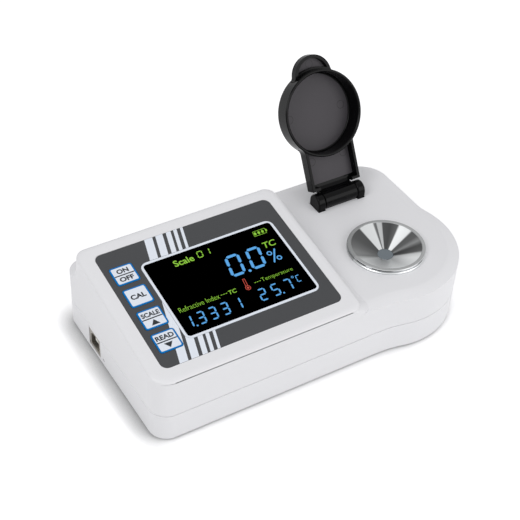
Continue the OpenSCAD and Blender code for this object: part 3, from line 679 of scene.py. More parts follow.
def evaluated(obj: bpy.types.Object) -> bpy.types.Mesh:
    """Gives the mesh that an object's modifiers make, and removes the object.

    Args:
        obj: The object.

    Returns:
        A plain mesh.
    """
    graph = bpy.context.evaluated_depsgraph_get()
    mesh = bpy.data.meshes.new_from_object(obj.evaluated_get(graph), depsgraph=graph)
    bpy.data.objects.remove(obj)
    return mesh


def temporary(mesh: bpy.types.Mesh) -> bpy.types.Object:
    """Puts a mesh into a working object."""
    obj = bpy.data.objects.new("working", mesh)
    bpy.context.scene.collection.objects.link(obj)
    return obj


def combined(base: bpy.types.Mesh, other: bpy.types.Mesh, operation: str = "DIFFERENCE") -> bpy.types.Mesh:
    """Cuts one closed mesh with another, or unites them.

    Args:
        base: The mesh that is worked on.
        other: The mesh that cuts or is added.
        operation: DIFFERENCE, UNION or INTERSECT.

    Returns:
        The result.
    """
    target, tool = temporary(base), temporary(other)
    cut = target.modifiers.new("combine", "BOOLEAN")
    cut.operation = operation
    cut.solver = "EXACT"
    cut.object = tool
    mesh = evaluated(target)
    bpy.data.objects.remove(tool)
    return mesh


def softened(mesh: bpy.types.Mesh, width: float, segments: int = 2, angle: float = 40.0) -> bpy.types.Mesh:
    """Rounds a mesh's sharp edges.

    Args:
        mesh: The mesh.
        width: The width of the rounding.
        segments: How many faces it takes.
        angle: The least angle between faces, in degrees, of an edge that is rounded.

    Returns:
        The rounded mesh.
    """
    obj = temporary(mesh)
    bevel = obj.modifiers.new("edge_rounding", "BEVEL")
    bevel.width = width
    bevel.segments = segments
    bevel.limit_method = "ANGLE"
    bevel.angle_limit = math.radians(angle)
    return evaluated(obj)


def weighted(mesh: bpy.types.Mesh, angle: float = 32.0) -> bpy.types.Mesh:
    """Shades a mesh smooth with normals that follow its large faces, so that flats stay flat.

    Args:
        mesh: The mesh.
        angle: Edges sharper than this, in degrees, stay sharp.

    Returns:
        The shaded mesh.
    """
    obj = temporary(smooth(mesh, angle))
    normals = obj.modifiers.new("flat_faces_stay_flat", "WEIGHTED_NORMAL")
    normals.keep_sharp = True
    return evaluated(obj)


def lettering(
    text: str, size: float, bold: float = 0.0, slant: float = 0.0, thickness: float = 0.02
) -> bpy.types.Mesh:
    """Makes words as a thin raised print, centred on the origin.

    Args:
        text: The words.
        size: The height of the font in millimetres.
        bold: How far each stroke is widened.
        slant: The shear of the letters.
        thickness: How thick the print is.

    Returns:
        The print's mesh.
    """
    curve = bpy.data.curves.new("print", "FONT")
    curve.body = text
    curve.size = size
    curve.align_x = "CENTER"
    curve.align_y = "CENTER"
    curve.extrude = thickness / 2
    curve.offset = bold
    curve.shear = slant
    curve.resolution_u = 4
    obj = bpy.data.objects.new("print", curve)
    bpy.context.scene.collection.objects.link(obj)
    mesh = evaluated(obj)
    bpy.data.curves.remove(curve)
    return mesh


def fitted(mesh: bpy.types.Mesh, x0: float, x1: float, y0: float, y1: float, z: float) -> bpy.types.Mesh:
    """Stretches a flat mesh to a rectangle and sets it at a height.

    Args:
        mesh: The mesh.
        x0: The left side.
        x1: The right side.
        y0: The low side.
        y1: The high side.
        z: The height of its middle.

    Returns:
        The same mesh.
    """
    xs = [v.co.x for v in mesh.vertices]
    ys = [v.co.y for v in mesh.vertices]
    scale = Matrix.Diagonal(((x1 - x0) / (max(xs) - min(xs)), (y1 - y0) / (max(ys) - min(ys)), 1.0, 1.0))
    mesh.transform(scale @ shift(-min(xs), -min(ys)))
    mesh.transform(shift(x0, y0, z))
    return mesh


# The case's space and outlines


@dataclass(frozen=True)
class CaseSizes:
    """Sizes of the case, in millimetres."""

    length: float = 177.2
    depth: float = 96.7
    deck: float = 34.0
    parting: float = 15.8
    parting_gap: float = 0.3
    floor: float = 1.0
    wall: float = 2.2
    corner_left: float = 9.0
    corner_right: float = 14.5
    bevel_width: float = 6.2
    bevel_drop: float = 1.7
    foot_chamfer: float = 1.0
    nose_r: float = 38.9
    nose_front: float = 2.7
    nose_side: float = 2.8
    blend_front: float = 60.0
    blend_side: float = 20.0
    pod_length: float = 105.8
    pod_front: float = 37.3
    pod_depth: float = 83.9
    pod_tilt: float = 8.6
    pod_side_lean: float = 30.5
    pod_back_lean: float = 11.0
    pod_bevel_width: float = 2.9
    pod_bevel_drop: float = 1.3
    pod_front_r: float = 6.0
    pod_back_r: float = 5.5
    pod_flare: float = 3.4
    pod_flare_rise: float = 2.4
    well_dx: float = 0.6
    well_dy: float = 4.3
    hinge_reach: float = 43.1
    hinge_up: float = 3.0
    usb_y: float = 64.4
    usb_z: float = 8.7
    usb_w: float = 12.0
    usb_h: float = 10.9
    pin_hole_y: float = 54.9
    pin_hole_z: float = 5.0
    pin_hole_r: float = 0.9
    bay_x: float = 27.0
    bay_length: float = 55.0
    bay_depth: float = 29.0
    bay_top: float = 20.8
    bay_wall: float = 1.6

    @property
    def nose(self) -> tuple[float, float]:
        """The middle of the round nose."""
        return self.length + self.nose_side - self.nose_r, self.nose_r - self.nose_front

    @property
    def well(self) -> tuple[float, float]:
        """The axis of the sample well."""
        return self.nose[0] + self.well_dx, self.nose[1] - self.well_dy

    @property
    def hinge(self) -> tuple[float, float, float]:
        """The middle of the hinge pin."""
        return self.well[0], self.well[1] + self.hinge_reach, self.deck + self.hinge_up

    @property
    def screws(self) -> list[tuple[float, float]]:
        """The four case screws, seen from above.

        Returns:
            The middle of each screw.
        """
        edge = 11.0
        nx, ny = self.nose
        reach, lean = self.nose_r * 0.8, math.radians(-55)
        return [
            (edge, edge),
            (edge, self.depth - edge),
            (nx + reach * math.cos(lean), ny + reach * math.sin(lean)),
            (self.length - self.corner_right, self.depth - self.corner_right),
        ]

    @property
    def feet(self) -> list[tuple[float, float]]:
        """The four feet, seen from above.

        Returns:
            The middle of each foot.
        """
        edge = 13.0
        return [
            (2 * edge, edge),
            (edge, self.depth - 2 * edge),
            (self.nose[0], edge),
            (self.length - 2 * edge, self.depth - edge),
        ]

    def outline(
        self, inset: float, corner: int = 14, nose: int = 72, blend: int = 10
    ) -> list[tuple[float, float]]:
        """Outlines the case seen from above.

        Args:
            inset: How far inside the real outline it lies.
            corner: Steps in each corner.
            nose: Steps round the nose.
            blend: Steps along each hollow blend.

        Returns:
            The outline, counter-clockwise.
        """
        nx, ny = self.nose
        reach = self.nose_r + self.blend_front
        fx = nx - math.sqrt(reach**2 - (ny + self.blend_front) ** 2)
        fa = math.degrees(math.atan2(ny + self.blend_front, nx - fx))
        dx = self.length + self.blend_side - nx
        sy = ny + math.sqrt((self.nose_r + self.blend_side) ** 2 - dx**2)
        sa = math.degrees(math.atan2(sy - ny, dx))
        left, right = self.corner_left, self.corner_right
        return (
            arc((left, left), left - inset, 180, 270, corner)
            + arc((fx, -self.blend_front), self.blend_front + inset, 90, fa, blend)[:-1]
            + arc((nx, ny), self.nose_r - inset, fa - 180, sa, nose)
            + arc((self.length + self.blend_side, sy), self.blend_side + inset, 180 + sa, 180, blend)[1:]
            + arc((self.length - right, self.depth - right), right - inset, 0, 90, corner)
            + arc((left, self.depth - left), left - inset, 90, 180, corner)
        )

    def pod_outline(
        self, inset: float, right: float, back: float, corner: int = 14
    ) -> list[tuple[float, float]]:
        """Outlines the display housing seen from above.

        Args:
            inset: How far inside the left and front walls it lies.
            right: Where its right side is.
            back: Where its back side is.
            corner: Steps in each corner.

        Returns:
            The outline, counter-clockwise.
        """
        left = self.corner_left
        front_r, back_r = self.pod_front_r - inset / 2, self.pod_back_r - inset / 2
        return (
            arc((left, left), left - inset, 180, 270, corner)
            + arc((right - front_r, inset + front_r), front_r, 270, 360, corner)
            + arc((right - back_r, back - back_r), back_r, 0, 90, corner)
            + arc((inset + back_r, back - back_r), back_r, 90, 180, corner)
        )


@dataclass(frozen=True)
class Space:
    """Carries meshes from the case's millimetres into the frame's metres."""

    sizes: CaseSizes
    left: float
    front: float

    @classmethod
    def from_frame(cls, sizes: CaseSizes) -> "Space":
        """Reads where the case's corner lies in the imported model."""
        low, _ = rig.box("lower_shell")
        return cls(sizes, low.x, low.y + sizes.nose_front * MM)

    @property
    def case(self) -> Matrix:
        """From case coordinates."""
        return Matrix.Translation((self.left, self.front, 0.0)) @ Matrix.Scale(MM, 4)

    @property
    def pod(self) -> Matrix:
        """From the tilted top plane: X along the front, Y up the slope, Z out of the plane."""
        return self.case @ shift(z=self.sizes.pod_front) @ turn(self.sizes.pod_tilt, "X")

    @property
    def well(self) -> Matrix:
        """From the well's axis, with heights still from the table."""
        return self.case @ shift(*self.sizes.well)

    @property
    def hinge(self) -> Matrix:
        """From the middle of the hinge pin."""
        return self.case @ shift(*self.sizes.hinge)

    def piece(
        self,
        name: str,
        mesh: bpy.types.Mesh,
        matrix: Matrix,
        finish: Finish | LitInk,
        slot: str,
        body: Body = Body.CASE,
        replaces: tuple[str, ...] = (),
    ) -> bpy.types.Object:
        """Makes a finished piece of the object.

        Args:
            name: The piece's name.
            mesh: Its mesh in millimetres.
            matrix: Where the mesh's coordinates lie in the frame.
            finish: What it is made of.
            slot: The record's material slot.
            body: The body that it rides on.
            replaces: CAD nodes that it stands for.

        Returns:
            The object.
        """
        mesh.transform(matrix)
        mesh.name = name
        mesh.materials.clear()
        mesh.materials.append(finish.build())
        obj = bpy.data.objects.new(name, mesh)
        bpy.context.scene.collection.objects.link(obj)
        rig.ride(obj, body.value)
        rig.slot(obj, slot)
        if replaces:
            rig.replaces(obj, *replaces)
        log.info("made %s with %d faces on %s", name, len(mesh.polygons), body.value)
        return obj


# Sub-assemblies


@dataclass
class Housing:
    """The two moulded shells of the case."""

    space: Space
    bevel_steps: int = 10
    flare_steps: int = 6
    seam_round: float = 0.25
    seat_gap: float = 0.1
    slide_gap: float = 0.25
    well_bore_r: float = 16.5
    cover_rebate: float = 2.0
    cover_tongue: float = 3.2
    cover_step: float = 0.9
    pad_lift: float = 1.2
    bay_sink: float = 0.5
    foot_recess_r: float = 5.6
    foot_recess: float = 1.9
    screw_sink_r: float = 2.8
    screw_sink: float = 6.0
    knuckle_room: float = 3.33
    ear_t: float = 4.3
    ear_r: float = 4.5
    hinge_w: float = 28.1
    pocket_depth: float = 2.4
    lip_height: float = 2.0
    lip_thickness: float = 0.9

    def ringed(self, profile: list[tuple[float, float]]) -> bpy.types.Mesh:
        """Makes a form that follows the case's outline.

        Args:
            profile: Rings from the lowest up, each as (inset, height).

        Returns:
            A closed mesh.
        """
        outline = self.space.sizes.outline
        return closed_skin([[Vector((x, y, z)) for x, y in outline(inset)] for inset, z in profile])

    def case_form(self, wall: float, low: float) -> bpy.types.Mesh:
        """Makes the low part of the upper shell, or with a wall the room inside it."""
        s = self.space.sizes
        foot = [(wall, low)] if wall else [(self.seam_round, low), (0.0, low + self.seam_round)]
        shares = [i / self.bevel_steps for i in range(self.bevel_steps + 1)]
        bevel = [(s.bevel_width * u + wall, s.deck - s.bevel_drop * (1 - u) ** 1.5 - wall) for u in shares]
        return self.ringed(foot + bevel)

    def pod_form(self, wall: float, low: float) -> bpy.types.Mesh:
        """Makes the display housing, or with a wall the room inside it.

        Args:
            wall: The wall that the room leaves, or zero for the outside.
            low: The height where the form starts.

        Returns:
            A closed mesh whose foot sweeps out into the deck.
        """
        s = self.space.sizes
        slope = math.tan(math.radians(s.pod_tilt))
        side = math.tan(math.radians(s.pod_side_lean))
        back = math.tan(math.radians(s.pod_back_lean))
        rings = []

        def foot_ring(z: float, flare: float) -> list[Vector]:
            """Gives the outline at a height on the leaning walls."""
            right = s.pod_length + side * (s.pod_front - z) + flare - wall
            rear = s.pod_depth + back * (s.pod_front + slope * s.pod_depth - z) + flare - wall
            return [Vector((x, y, z)) for x, y in s.pod_outline(wall, right, rear)]

        if wall:
            rings.append(foot_ring(low, 0.0))
        else:
            rings.append(foot_ring(low, s.pod_flare))
            for i in range(self.flare_steps + 1):
                share = 1 - i / self.flare_steps
                rings.append(foot_ring(s.deck + s.pod_flare_rise * (1 - share), s.pod_flare * share**2))
        for i in range(9):
            turn_share = math.radians(90 * i / 8)
            drop = s.pod_bevel_drop * (1 - math.sin(turn_share))
            inset = s.pod_bevel_width * (1 - math.cos(turn_share))
            right = s.pod_length + side * s.pod_bevel_drop - inset - wall
            rear = s.pod_depth + back * s.pod_bevel_drop - inset - wall
            rings.append(
                [
                    Vector((x, y, s.pod_front + slope * y - drop - wall))
                    for x, y in s.pod_outline(wall + inset, right, rear)
                ]
            )
        return closed_skin(rings)

    def hinge_pockets(self) -> bpy.types.Mesh:
        """Makes the room in the deck for the two ears, and the slot that the knuckle turns in.

        Returns:
            The room to cut away.
        """
        s = self.space.sizes
        hx, hy, _ = s.hinge
        low, high = s.deck - self.pocket_depth, s.deck + 3
        reach, depth = self.ear_t / 2 + self.seat_gap, self.ear_r + self.seat_gap
        rooms = []
        for side in (-1, 1):
            x = hx + side * (self.hinge_w - self.ear_t) / 2
            rooms.append(box_mesh((x - reach, hy - depth, low), (x + reach, hy + depth, high)))
        slot = (self.hinge_w - self.ear_t) / 2
        middle = box_mesh((hx - slot, hy - self.knuckle_room, low), (hx + slot, hy + self.knuckle_room, high))
        return combined(combined(rooms[0], rooms[1], "UNION"), middle, "UNION")

    def upper(self, fascia: "Fascia", keypad: "Keypad") -> bpy.types.Object:
        """Makes the upper shell with its recess for the label, the keys' holes and the well's bore.

        Args:
            fascia: The label, for its recess.
            keypad: The keys, for the holes of their pegs.

        Returns:
            The shell.
        """
        s = self.space.sizes
        seam = s.parting + s.parting_gap / 2
        joint = s.deck - s.bevel_drop
        outer = combined(self.case_form(0.0, seam), self.pod_form(0.0, joint - s.wall), "UNION")
        inner = combined(self.case_form(s.wall, seam - 1), self.pod_form(s.wall, joint - s.wall), "UNION")
        shell = combined(outer, inner)
        to_pod = shift(z=s.pod_front) @ turn(s.pod_tilt, "X")
        shell = combined(shell, moved(fascia.recess(), to_pod))
        for x, y in keypad.places():
            hole = rod(keypad.peg_r + self.slide_gap, -2 * s.wall, 1.0, 40)
            shell = combined(shell, moved(hole, to_pod @ shift(x, y)))
            w, d = keypad.width + 2 * fascia.gap, keypad.depth + 2 * fascia.gap
            outline = round_box(x - w / 2, y - d / 2, w, d, keypad.corner)
            well = slab(outline, -fascia.thickness - keypad.well, 1.0)
            shell = combined(shell, moved(well, to_pod))
        bore = moved(rod(self.well_bore_r, s.deck - 2 * s.wall, s.deck + 2 * s.wall, 96), shift(*s.well))
        shell = combined(shell, bore)
        shell = combined(shell, self.hinge_pockets())
        return self.space.piece(
            "upper_case", weighted(shell), self.space.case, SHELL_ABS, "shell_abs", replaces=("upper_shell",)
        )

    def lower(self) -> bpy.types.Object:
        """Makes the lower shell with its lip, its battery bay and the holes in its wall and floor.

        Returns:
            The shell.
        """
        s = self.space.sizes
        seam = s.parting - s.parting_gap / 2
        floor_top = s.floor + s.wall
        lip_out, lip_in = s.wall + self.seat_gap, s.wall + self.seat_gap + self.lip_thickness
        lip_top = seam + self.lip_height
        outer = self.ringed(
            [
                (s.foot_chamfer, s.floor),
                (s.foot_chamfer * 0.3, s.floor + s.foot_chamfer * 0.3),
                (0.0, s.floor + s.foot_chamfer),
                (0.0, seam - self.seam_round),
                (self.seam_round, seam),
                (lip_out, seam),
                (lip_out, lip_top),
            ]
        )
        inner = self.ringed(
            [
                (s.wall + s.foot_chamfer, floor_top),
                (s.wall, floor_top + s.foot_chamfer),
                (s.wall, seam - 3),
                (lip_in, seam - 2),
                (lip_in, lip_top + 1),
            ]
        )
        shell = combined(outer, inner)
        bx, by = s.bay_x, s.depth - 2 * s.wall - s.bay_depth
        w = s.bay_wall
        end_x, end_y = bx + s.bay_length, by + s.bay_depth
        bay = box_mesh((bx - w, by - w, s.floor + self.bay_sink), (end_x + w, end_y + w, s.bay_top + w))
        reach = self.cover_tongue
        pad = box_mesh(
            (bx - reach, by - reach, s.floor), (end_x + reach, s.depth - s.wall / 2, floor_top + self.pad_lift)
        )
        shell = combined(combined(shell, bay, "UNION"), pad, "UNION")
        shell = combined(shell, box_mesh((bx, by, 0), (end_x, end_y, s.bay_top)))
        g = self.seat_gap
        near, far = self.cover_rebate + g, self.cover_tongue + g
        step = s.floor + self.cover_step
        cover_low = box_mesh((bx - near, by - near, 0), (end_x + near, s.depth + 1, step))
        cover_high = box_mesh(
            (bx - far, by - near, step - g), (end_x + far, s.depth + 1, step + self.cover_step + g)
        )
        shell = combined(combined(shell, cover_low), cover_high)
        for x, y in s.feet:
            shell = combined(shell, moved(rod(self.foot_recess_r, 0, self.foot_recess, 48), shift(x, y)))
        for x, y in s.screws:
            shell = combined(shell, moved(rod(self.screw_sink_r, 0, self.screw_sink, 32), shift(x, y)))
        half_w, half_h = s.usb_w / 2 + g, s.usb_h / 2 + g
        mouth = box_mesh(
            (-1, s.usb_y - half_w, s.usb_z - half_h), (lip_in + 1, s.usb_y + half_w, s.usb_z + half_h)
        )
        pin = moved(rod(s.pin_hole_r, -1, lip_in, 32), shift(y=s.pin_hole_y, z=s.pin_hole_z) @ turn(90, "Y"))
        shell = combined(combined(shell, mouth), pin)
        return self.space.piece(
            "lower_case", weighted(shell), self.space.case, SHELL_ABS, "shell_abs", replaces=("lower_shell",)
        )


@dataclass
class Fascia:
    """The printed label with the display in it."""

    space: Space
    left: float = 7.1
    front: float = 7.7
    length: float = 92.9
    depth: float = 70.2
    corner: float = 3.4
    thickness: float = 0.4
    gap: float = 0.15
    window_left: float = 24.0
    window_front: float = 17.6
    window_length: float = 70.2
    window_depth: float = 47.6
    window_corner: float = 3.6
    frame_width: float = 1.25
    pane_corner: float = 1.7
    stripe_lean: float = 0.259
    stripe_starts: tuple[float, ...] = (15.3, 21.1, 26.6, 30.5, 34.1)
    stripe_widths: tuple[float, ...] = (4.2, 3.7, 2.5, 1.8, 1.4)
    print_lift: float = 0.02

    def recess(self) -> bpy.types.Mesh:
        """Makes the room for the label in the housing's top."""
        g = self.gap
        outline = round_box(
            self.left - g, self.front - g, self.length + 2 * g, self.depth + 2 * g, self.corner + g
        )
        return slab(outline, -self.thickness, 1.0)

    def openings(self, keypad: "Keypad", low: float, high: float) -> list[bpy.types.Mesh]:
        """Makes the holes of the label for the window and the keys.

        Args:
            keypad: The keys.
            low: The lower end of the holes.
            high: Their upper end.

        Returns:
            One solid for each hole.
        """
        g = self.gap
        window = round_box(
            self.window_left - g,
            self.window_front - g,
            self.window_length + 2 * g,
            self.window_depth + 2 * g,
            self.window_corner + g,
        )
        return [slab(window, low, high)] + [
            slab(
                round_box(
                    x - keypad.width / 2 - g,
                    y - keypad.depth / 2 - g,
                    keypad.width + 2 * g,
                    keypad.depth + 2 * g,
                    keypad.corner + g,
                ),
                low,
                high,
            )
            for x, y in keypad.places()
        ]

    def film(self, keypad: "Keypad", low: float, high: float) -> bpy.types.Mesh:
        """Makes the label's film between two heights, with its openings."""
        plate = slab(round_box(self.left, self.front, self.length, self.depth, self.corner), low, high)
        return combined(plate, joined(self.openings(keypad, low - 1, high + 1)))

    def stripes(self, keypad: "Keypad") -> bpy.types.Mesh:
        """Makes the pale slanted stripes that run behind the window.

        Args:
            keypad: The keys, which the stripes pass behind.

        Returns:
            The stripes.
        """
        low, high = self.front - 1, self.front + self.depth + 1
        bars = []
        for start, width in zip(self.stripe_starts, self.stripe_widths):
            x0 = start + self.stripe_lean * (low - self.front - 1)
            x1 = start + self.stripe_lean * (high - self.front - 1)
            edge = [(x0, low), (x0 + width, low), (x1 + width, high), (x1, high)]
            bars.append(slab(edge, -0.2, self.print_lift))
        return combined(joined(bars), self.film(keypad, -0.1, 1.0), "INTERSECT")

    def build(self, keypad: "Keypad") -> None:
        """Builds the label, its stripes, and the window's frame and pane.

        Args:
            keypad: The keys, for the label's openings.
        """
        sp = self.space
        film = softened(self.film(keypad, -self.thickness, 0.0), 0.06, 1)
        film = weighted(film)
        sp.piece("front_label_film", film, sp.pod, LABEL_FILM, "label_film", replaces=("front_label",))
        sp.piece("front_label_stripes", self.stripes(keypad), sp.pod, PALE_PRINT, "label_film")
        w = self.frame_width
        outer = round_box(
            self.window_left, self.window_front, self.window_length, self.window_depth, self.window_corner
        )
        inner = round_box(
            self.window_left + w,
            self.window_front + w,
            self.window_length - 2 * w,
            self.window_depth - 2 * w,
            self.pane_corner,
        )
        frame = combined(slab(outer, -self.thickness, 0.01), slab(inner, -1.0, 1.0))
        sp.piece("display_window_frame", frame, sp.pod, PALE_PRINT, "window_acrylic")
        glass = softened(slab(inner, -self.thickness, 0.0), 0.05, 1)
        sp.piece(
            "display_window_pane", glass, sp.pod, WINDOW_ACRYLIC, "window_acrylic", replaces=("display_window",)
        )


SEGMENTS = {
    "0": "abcdef",
    "1": "bc",
    "2": "abged",
    "3": "abgcd",
    "5": "afgcd",
    "7": "abc",
    "C": "afed",
}


@dataclass
class Display:
    """What the display shows: digits of seven segments, words and small signs."""

    space: Space
    lift: float = 0.012
    thickness: float = 0.02

    def bar(self, a: tuple[float, float], b: tuple[float, float], width: float) -> bpy.types.Mesh:
        """Makes one segment with pointed ends.

        Args:
            a: One end.
            b: The other end.
            width: Its width.

        Returns:
            A thin slab.
        """
        dx, dy = b[0] - a[0], b[1] - a[1]
        length = math.hypot(dx, dy)
        ux, uy = dx / length * width / 2, dy / length * width / 2
        outline = [
            a,
            (a[0] + ux + uy, a[1] + uy - ux),
            (b[0] - ux + uy, b[1] - uy - ux),
            b,
            (b[0] - ux - uy, b[1] - uy + ux),
            (a[0] + ux - uy, a[1] + uy + ux),
        ]
        return slab(outline, self.lift - self.thickness / 2, self.lift + self.thickness / 2)

    def digit(
        self, sign: str, x: float, y: float, w: float, h: float, width: float, slant: float
    ) -> list[bpy.types.Mesh]:
        """Makes a seven-segment digit.

        Args:
            sign: The digit.
            x: Its low left corner along the front.
            y: Its low left corner up the slope.
            w: Its width between the middles of its segments.
            h: Its height between the middles of its segments.
            width: The width of a segment.
            slant: How far it leans for each millimetre of height.

        Returns:
            Its segments.
        """
        gap = width * 0.18
        ends = {
            "a": ((gap, h), (w - gap, h)),
            "b": ((w, h - gap), (w, h / 2 + gap)),
            "c": ((w, h / 2 - gap), (w, gap)),
            "d": ((gap, 0), (w - gap, 0)),
            "e": ((0, h / 2 - gap), (0, gap)),
            "f": ((0, h - gap), (0, h / 2 + gap)),
            "g": ((gap, h / 2), (w - gap, h / 2)),
        }
        bars = []
        for name in SEGMENTS[sign]:
            (ax, ay), (bx, by) = ends[name]
            bars.append(self.bar((x + ax + slant * ay, y + ay), (x + bx + slant * by, y + by), width))
        return bars

    def dot(self, x: float, y: float, r: float) -> bpy.types.Mesh:
        """Makes a decimal point."""
        return moved(rod(r, self.lift - 0.01, self.lift + 0.01, 16), shift(x, y))

    def ring(self, x: float, y: float, r: float, width: float) -> bpy.types.Mesh:
        """Makes a small ring, such as a degree sign."""
        low, high = self.lift - 0.01, self.lift + 0.01
        return moved(lathe([(r - width, low), (r, low), (r, high), (r - width, high)], 24), shift(x, y))

    def word(
        self, text: str, x0: float, x1: float, y0: float, y1: float, bold: float = 0.05, slant: float = 0.0
    ) -> bpy.types.Mesh:
        """Makes a word that fills a rectangle."""
        return fitted(lettering(text, 3.0, bold, slant, 0.02), x0, x1, y0, y1, self.lift)

    def build(self) -> None:
        """Builds the lit pieces in their three colours."""
        sp = self.space
        blue = self.digit("0", 60.5, 41.2, 6.2, 11.1, 1.45, 0.185)
        blue += self.digit("0", 71.6, 41.2, 6.2, 11.1, 1.45, 0.185)
        blue.append(self.dot(69.3, 40.9, 0.75))
        for sign, x in zip("13331", (27.3, 33.7, 39.75, 45.95, 52.4)):
            blue += self.digit(sign, x, 22.9, 3.0, 6.3, 0.75, 0.13)
        blue.append(self.dot(31.9, 22.8, 0.45))
        for sign, x in zip("257", (65.6, 72.4, 79.2)):
            blue += self.digit(sign, x, 22.9, 3.1, 6.3, 0.75, 0.13)
        blue.append(self.dot(77.0, 22.8, 0.45))
        blue.append(self.ring(85.3, 29.3, 0.65, 0.28))
        blue += self.digit("C", 86.4, 25.7, 1.9, 3.6, 0.45, 0.13)
        blue += [self.ring(83.0, 46.4, 1.35, 0.6), self.ring(86.0, 42.2, 1.35, 0.6)]
        blue.append(self.bar((82.3, 40.4), (86.7, 48.2), 0.8))
        sp.piece("display_figures", joined(blue), sp.pod, LitInk(Ink.BLUE), "display_glass")
        green = [self.word("Scale", 38.9, 49.1, 57.0, 60.7, 0.05)]
        green += self.digit("0", 51.4, 57.6, 2.4, 3.5, 0.5, 0.14)
        green += self.digit("1", 55.2, 57.6, 2.4, 3.5, 0.5, 0.14)
        green.append(self.word("TC", 82.7, 89.5, 49.9, 53.5, 0.03, 0.2))
        green.append(self.word("TC", 53.7, 57.8, 32.2, 34.5, 0.04, 0.2))
        green.append(self.word("Refractive Index", 28.3, 48.8, 32.2, 35.0, -0.035))
        green.append(self.word("Temperature", 71.3, 88.0, 32.1, 34.9, -0.035))
        for start in (49.6, 67.4):
            for i in range(3):
                dash = start + i * 1.25
                green.append(self.bar((dash, 33.6), (dash + 0.95, 33.6), 0.32))
        green += self.battery_sign(82.0, 58.4, 6.6, 2.9)
        sp.piece("display_words", joined(green), sp.pod, LitInk(Ink.GREEN), "display_glass")
        red = [self.ring(63.3, 32.3, 1.35, 0.3), self.dot(63.3, 32.3, 0.6)]
        red += [self.bar((62.75 + dx, 33.4), (63.35 + dx, 37.6), 0.28) for dx in (0.0, 1.05)]
        red.append(self.bar((63.2, 37.7), (64.5, 37.7), 0.28))
        sp.piece("display_thermometer", joined(red), sp.pod, LitInk(Ink.RED), "display_glass")

    def battery_sign(self, x: float, y: float, w: float, h: float) -> list[bpy.types.Mesh]:
        """Makes the battery sign: an outline, a nub and its charge bars."""
        lean = 0.12
        t = 0.22
        sides = [
            self.bar((x, y), (x + w, y), t),
            self.bar((x + lean * h, y + h), (x + w + lean * h, y + h), t),
            self.bar((x, y), (x + lean * h, y + h), t),
            self.bar((x + w, y), (x + w + lean * h, y + h), t),
            self.bar((x + w + 0.5, y + h * 0.25), (x + w + 0.6, y + h * 0.8), 0.7),
        ]
        for i in range(3):
            start = x + 0.9 + i * (w - 0.6) / 3
            sides.append(self.bar((start, y + 0.4), (start + lean * h, y + h - 0.4), 1.25))
        return sides


@dataclass
class Keypad:
    """The four keys in their column, the front one first."""

    space: Space
    column: float = 15.7
    first: float = 21.1
    pitch: float = 13.86
    width: float = 11.4
    depth: float = 10.9
    corner: float = 1.2
    proud: float = 0.2
    thickness: float = 0.5
    border: float = 0.75
    peg_r: float = 2.0
    well: float = 0.45
    bodies: tuple[Body, ...] = (Body.READ, Body.SCALE, Body.CAL, Body.ON_OFF)

    def places(self) -> list[tuple[float, float]]:
        """Gives the middle of each key on the tilted plane."""
        return [(self.column, self.first + i * self.pitch) for i in range(4)]

    def legend(self, body: Body, x: float, y: float) -> bpy.types.Mesh:
        """Makes the dark print on a key.

        Args:
            body: The key's body, which tells its words.
            x: The key's middle along the tilted plane.
            y: The key's middle up the tilted plane.

        Returns:
            The print as thin solids.
        """
        z = self.proud + 0.02
        half = self.width / 2 - self.border
        rule = [slab(round_box(x - half, y - 0.3, 2 * half, 0.6, 0.2, 2), z - 0.01, z + 0.01)]
        if body is Body.ON_OFF:
            words = [("ON", 2.9, 1.0, 3.7), ("OFF", 3.5, -3.8, -1.1)]
        elif body is Body.CAL:
            words, rule = [("CAL", 3.7, -1.4, 1.4)], []
        else:
            words = [("SCALE" if body is Body.SCALE else "READ", 4.4, 1.0, 3.6)]
            tip, base = (-0.9, -3.9) if body is Body.SCALE else (-4.0, -1.1)
            arrow = [(x - 2.1, y + base), (x + 2.1, y + base), (x, y + tip)]
            rule.append(slab(arrow if tip > base else arrow[::-1], z - 0.01, z + 0.01))
        meshes = [
            fitted(lettering(text, 3.0, 0.11), x - reach, x + reach, y + low, y + high, z)
            for text, reach, low, high in words
        ]
        return joined(meshes + rule)

    def build(self) -> None:
        """Builds each key as a pressed cap, its blue border and its print."""
        sp = self.space
        for body, (x, y) in zip(self.bodies, self.places()):
            name = body.value
            w, d, r = self.width, self.depth, self.corner
            outline = round_box(x - w / 2, y - d / 2, w, d, r)
            cap = softened(slab(outline, self.proud - self.thickness, self.proud), 0.12, 2)
            peg = moved(rod(self.peg_r, -2.9, -0.1, 32), shift(x, y))
            sp.piece(f"{name}_cap", weighted(joined([cap, peg])), sp.pod, BLUE_PRINT, "key_film", body, (name,))
            b = self.border
            face = slab(
                round_box(x - w / 2 + b, y - d / 2 + b, w - 2 * b, d - 2 * b, 0.6),
                self.proud - 0.1,
                self.proud + 0.01,
            )
            sp.piece(f"{name}_face", face, sp.pod, PALE_PRINT, "key_film", body)
            sp.piece(f"{name}_print", self.legend(body, x, y), sp.pod, DARK_PRINT, "key_film", body)


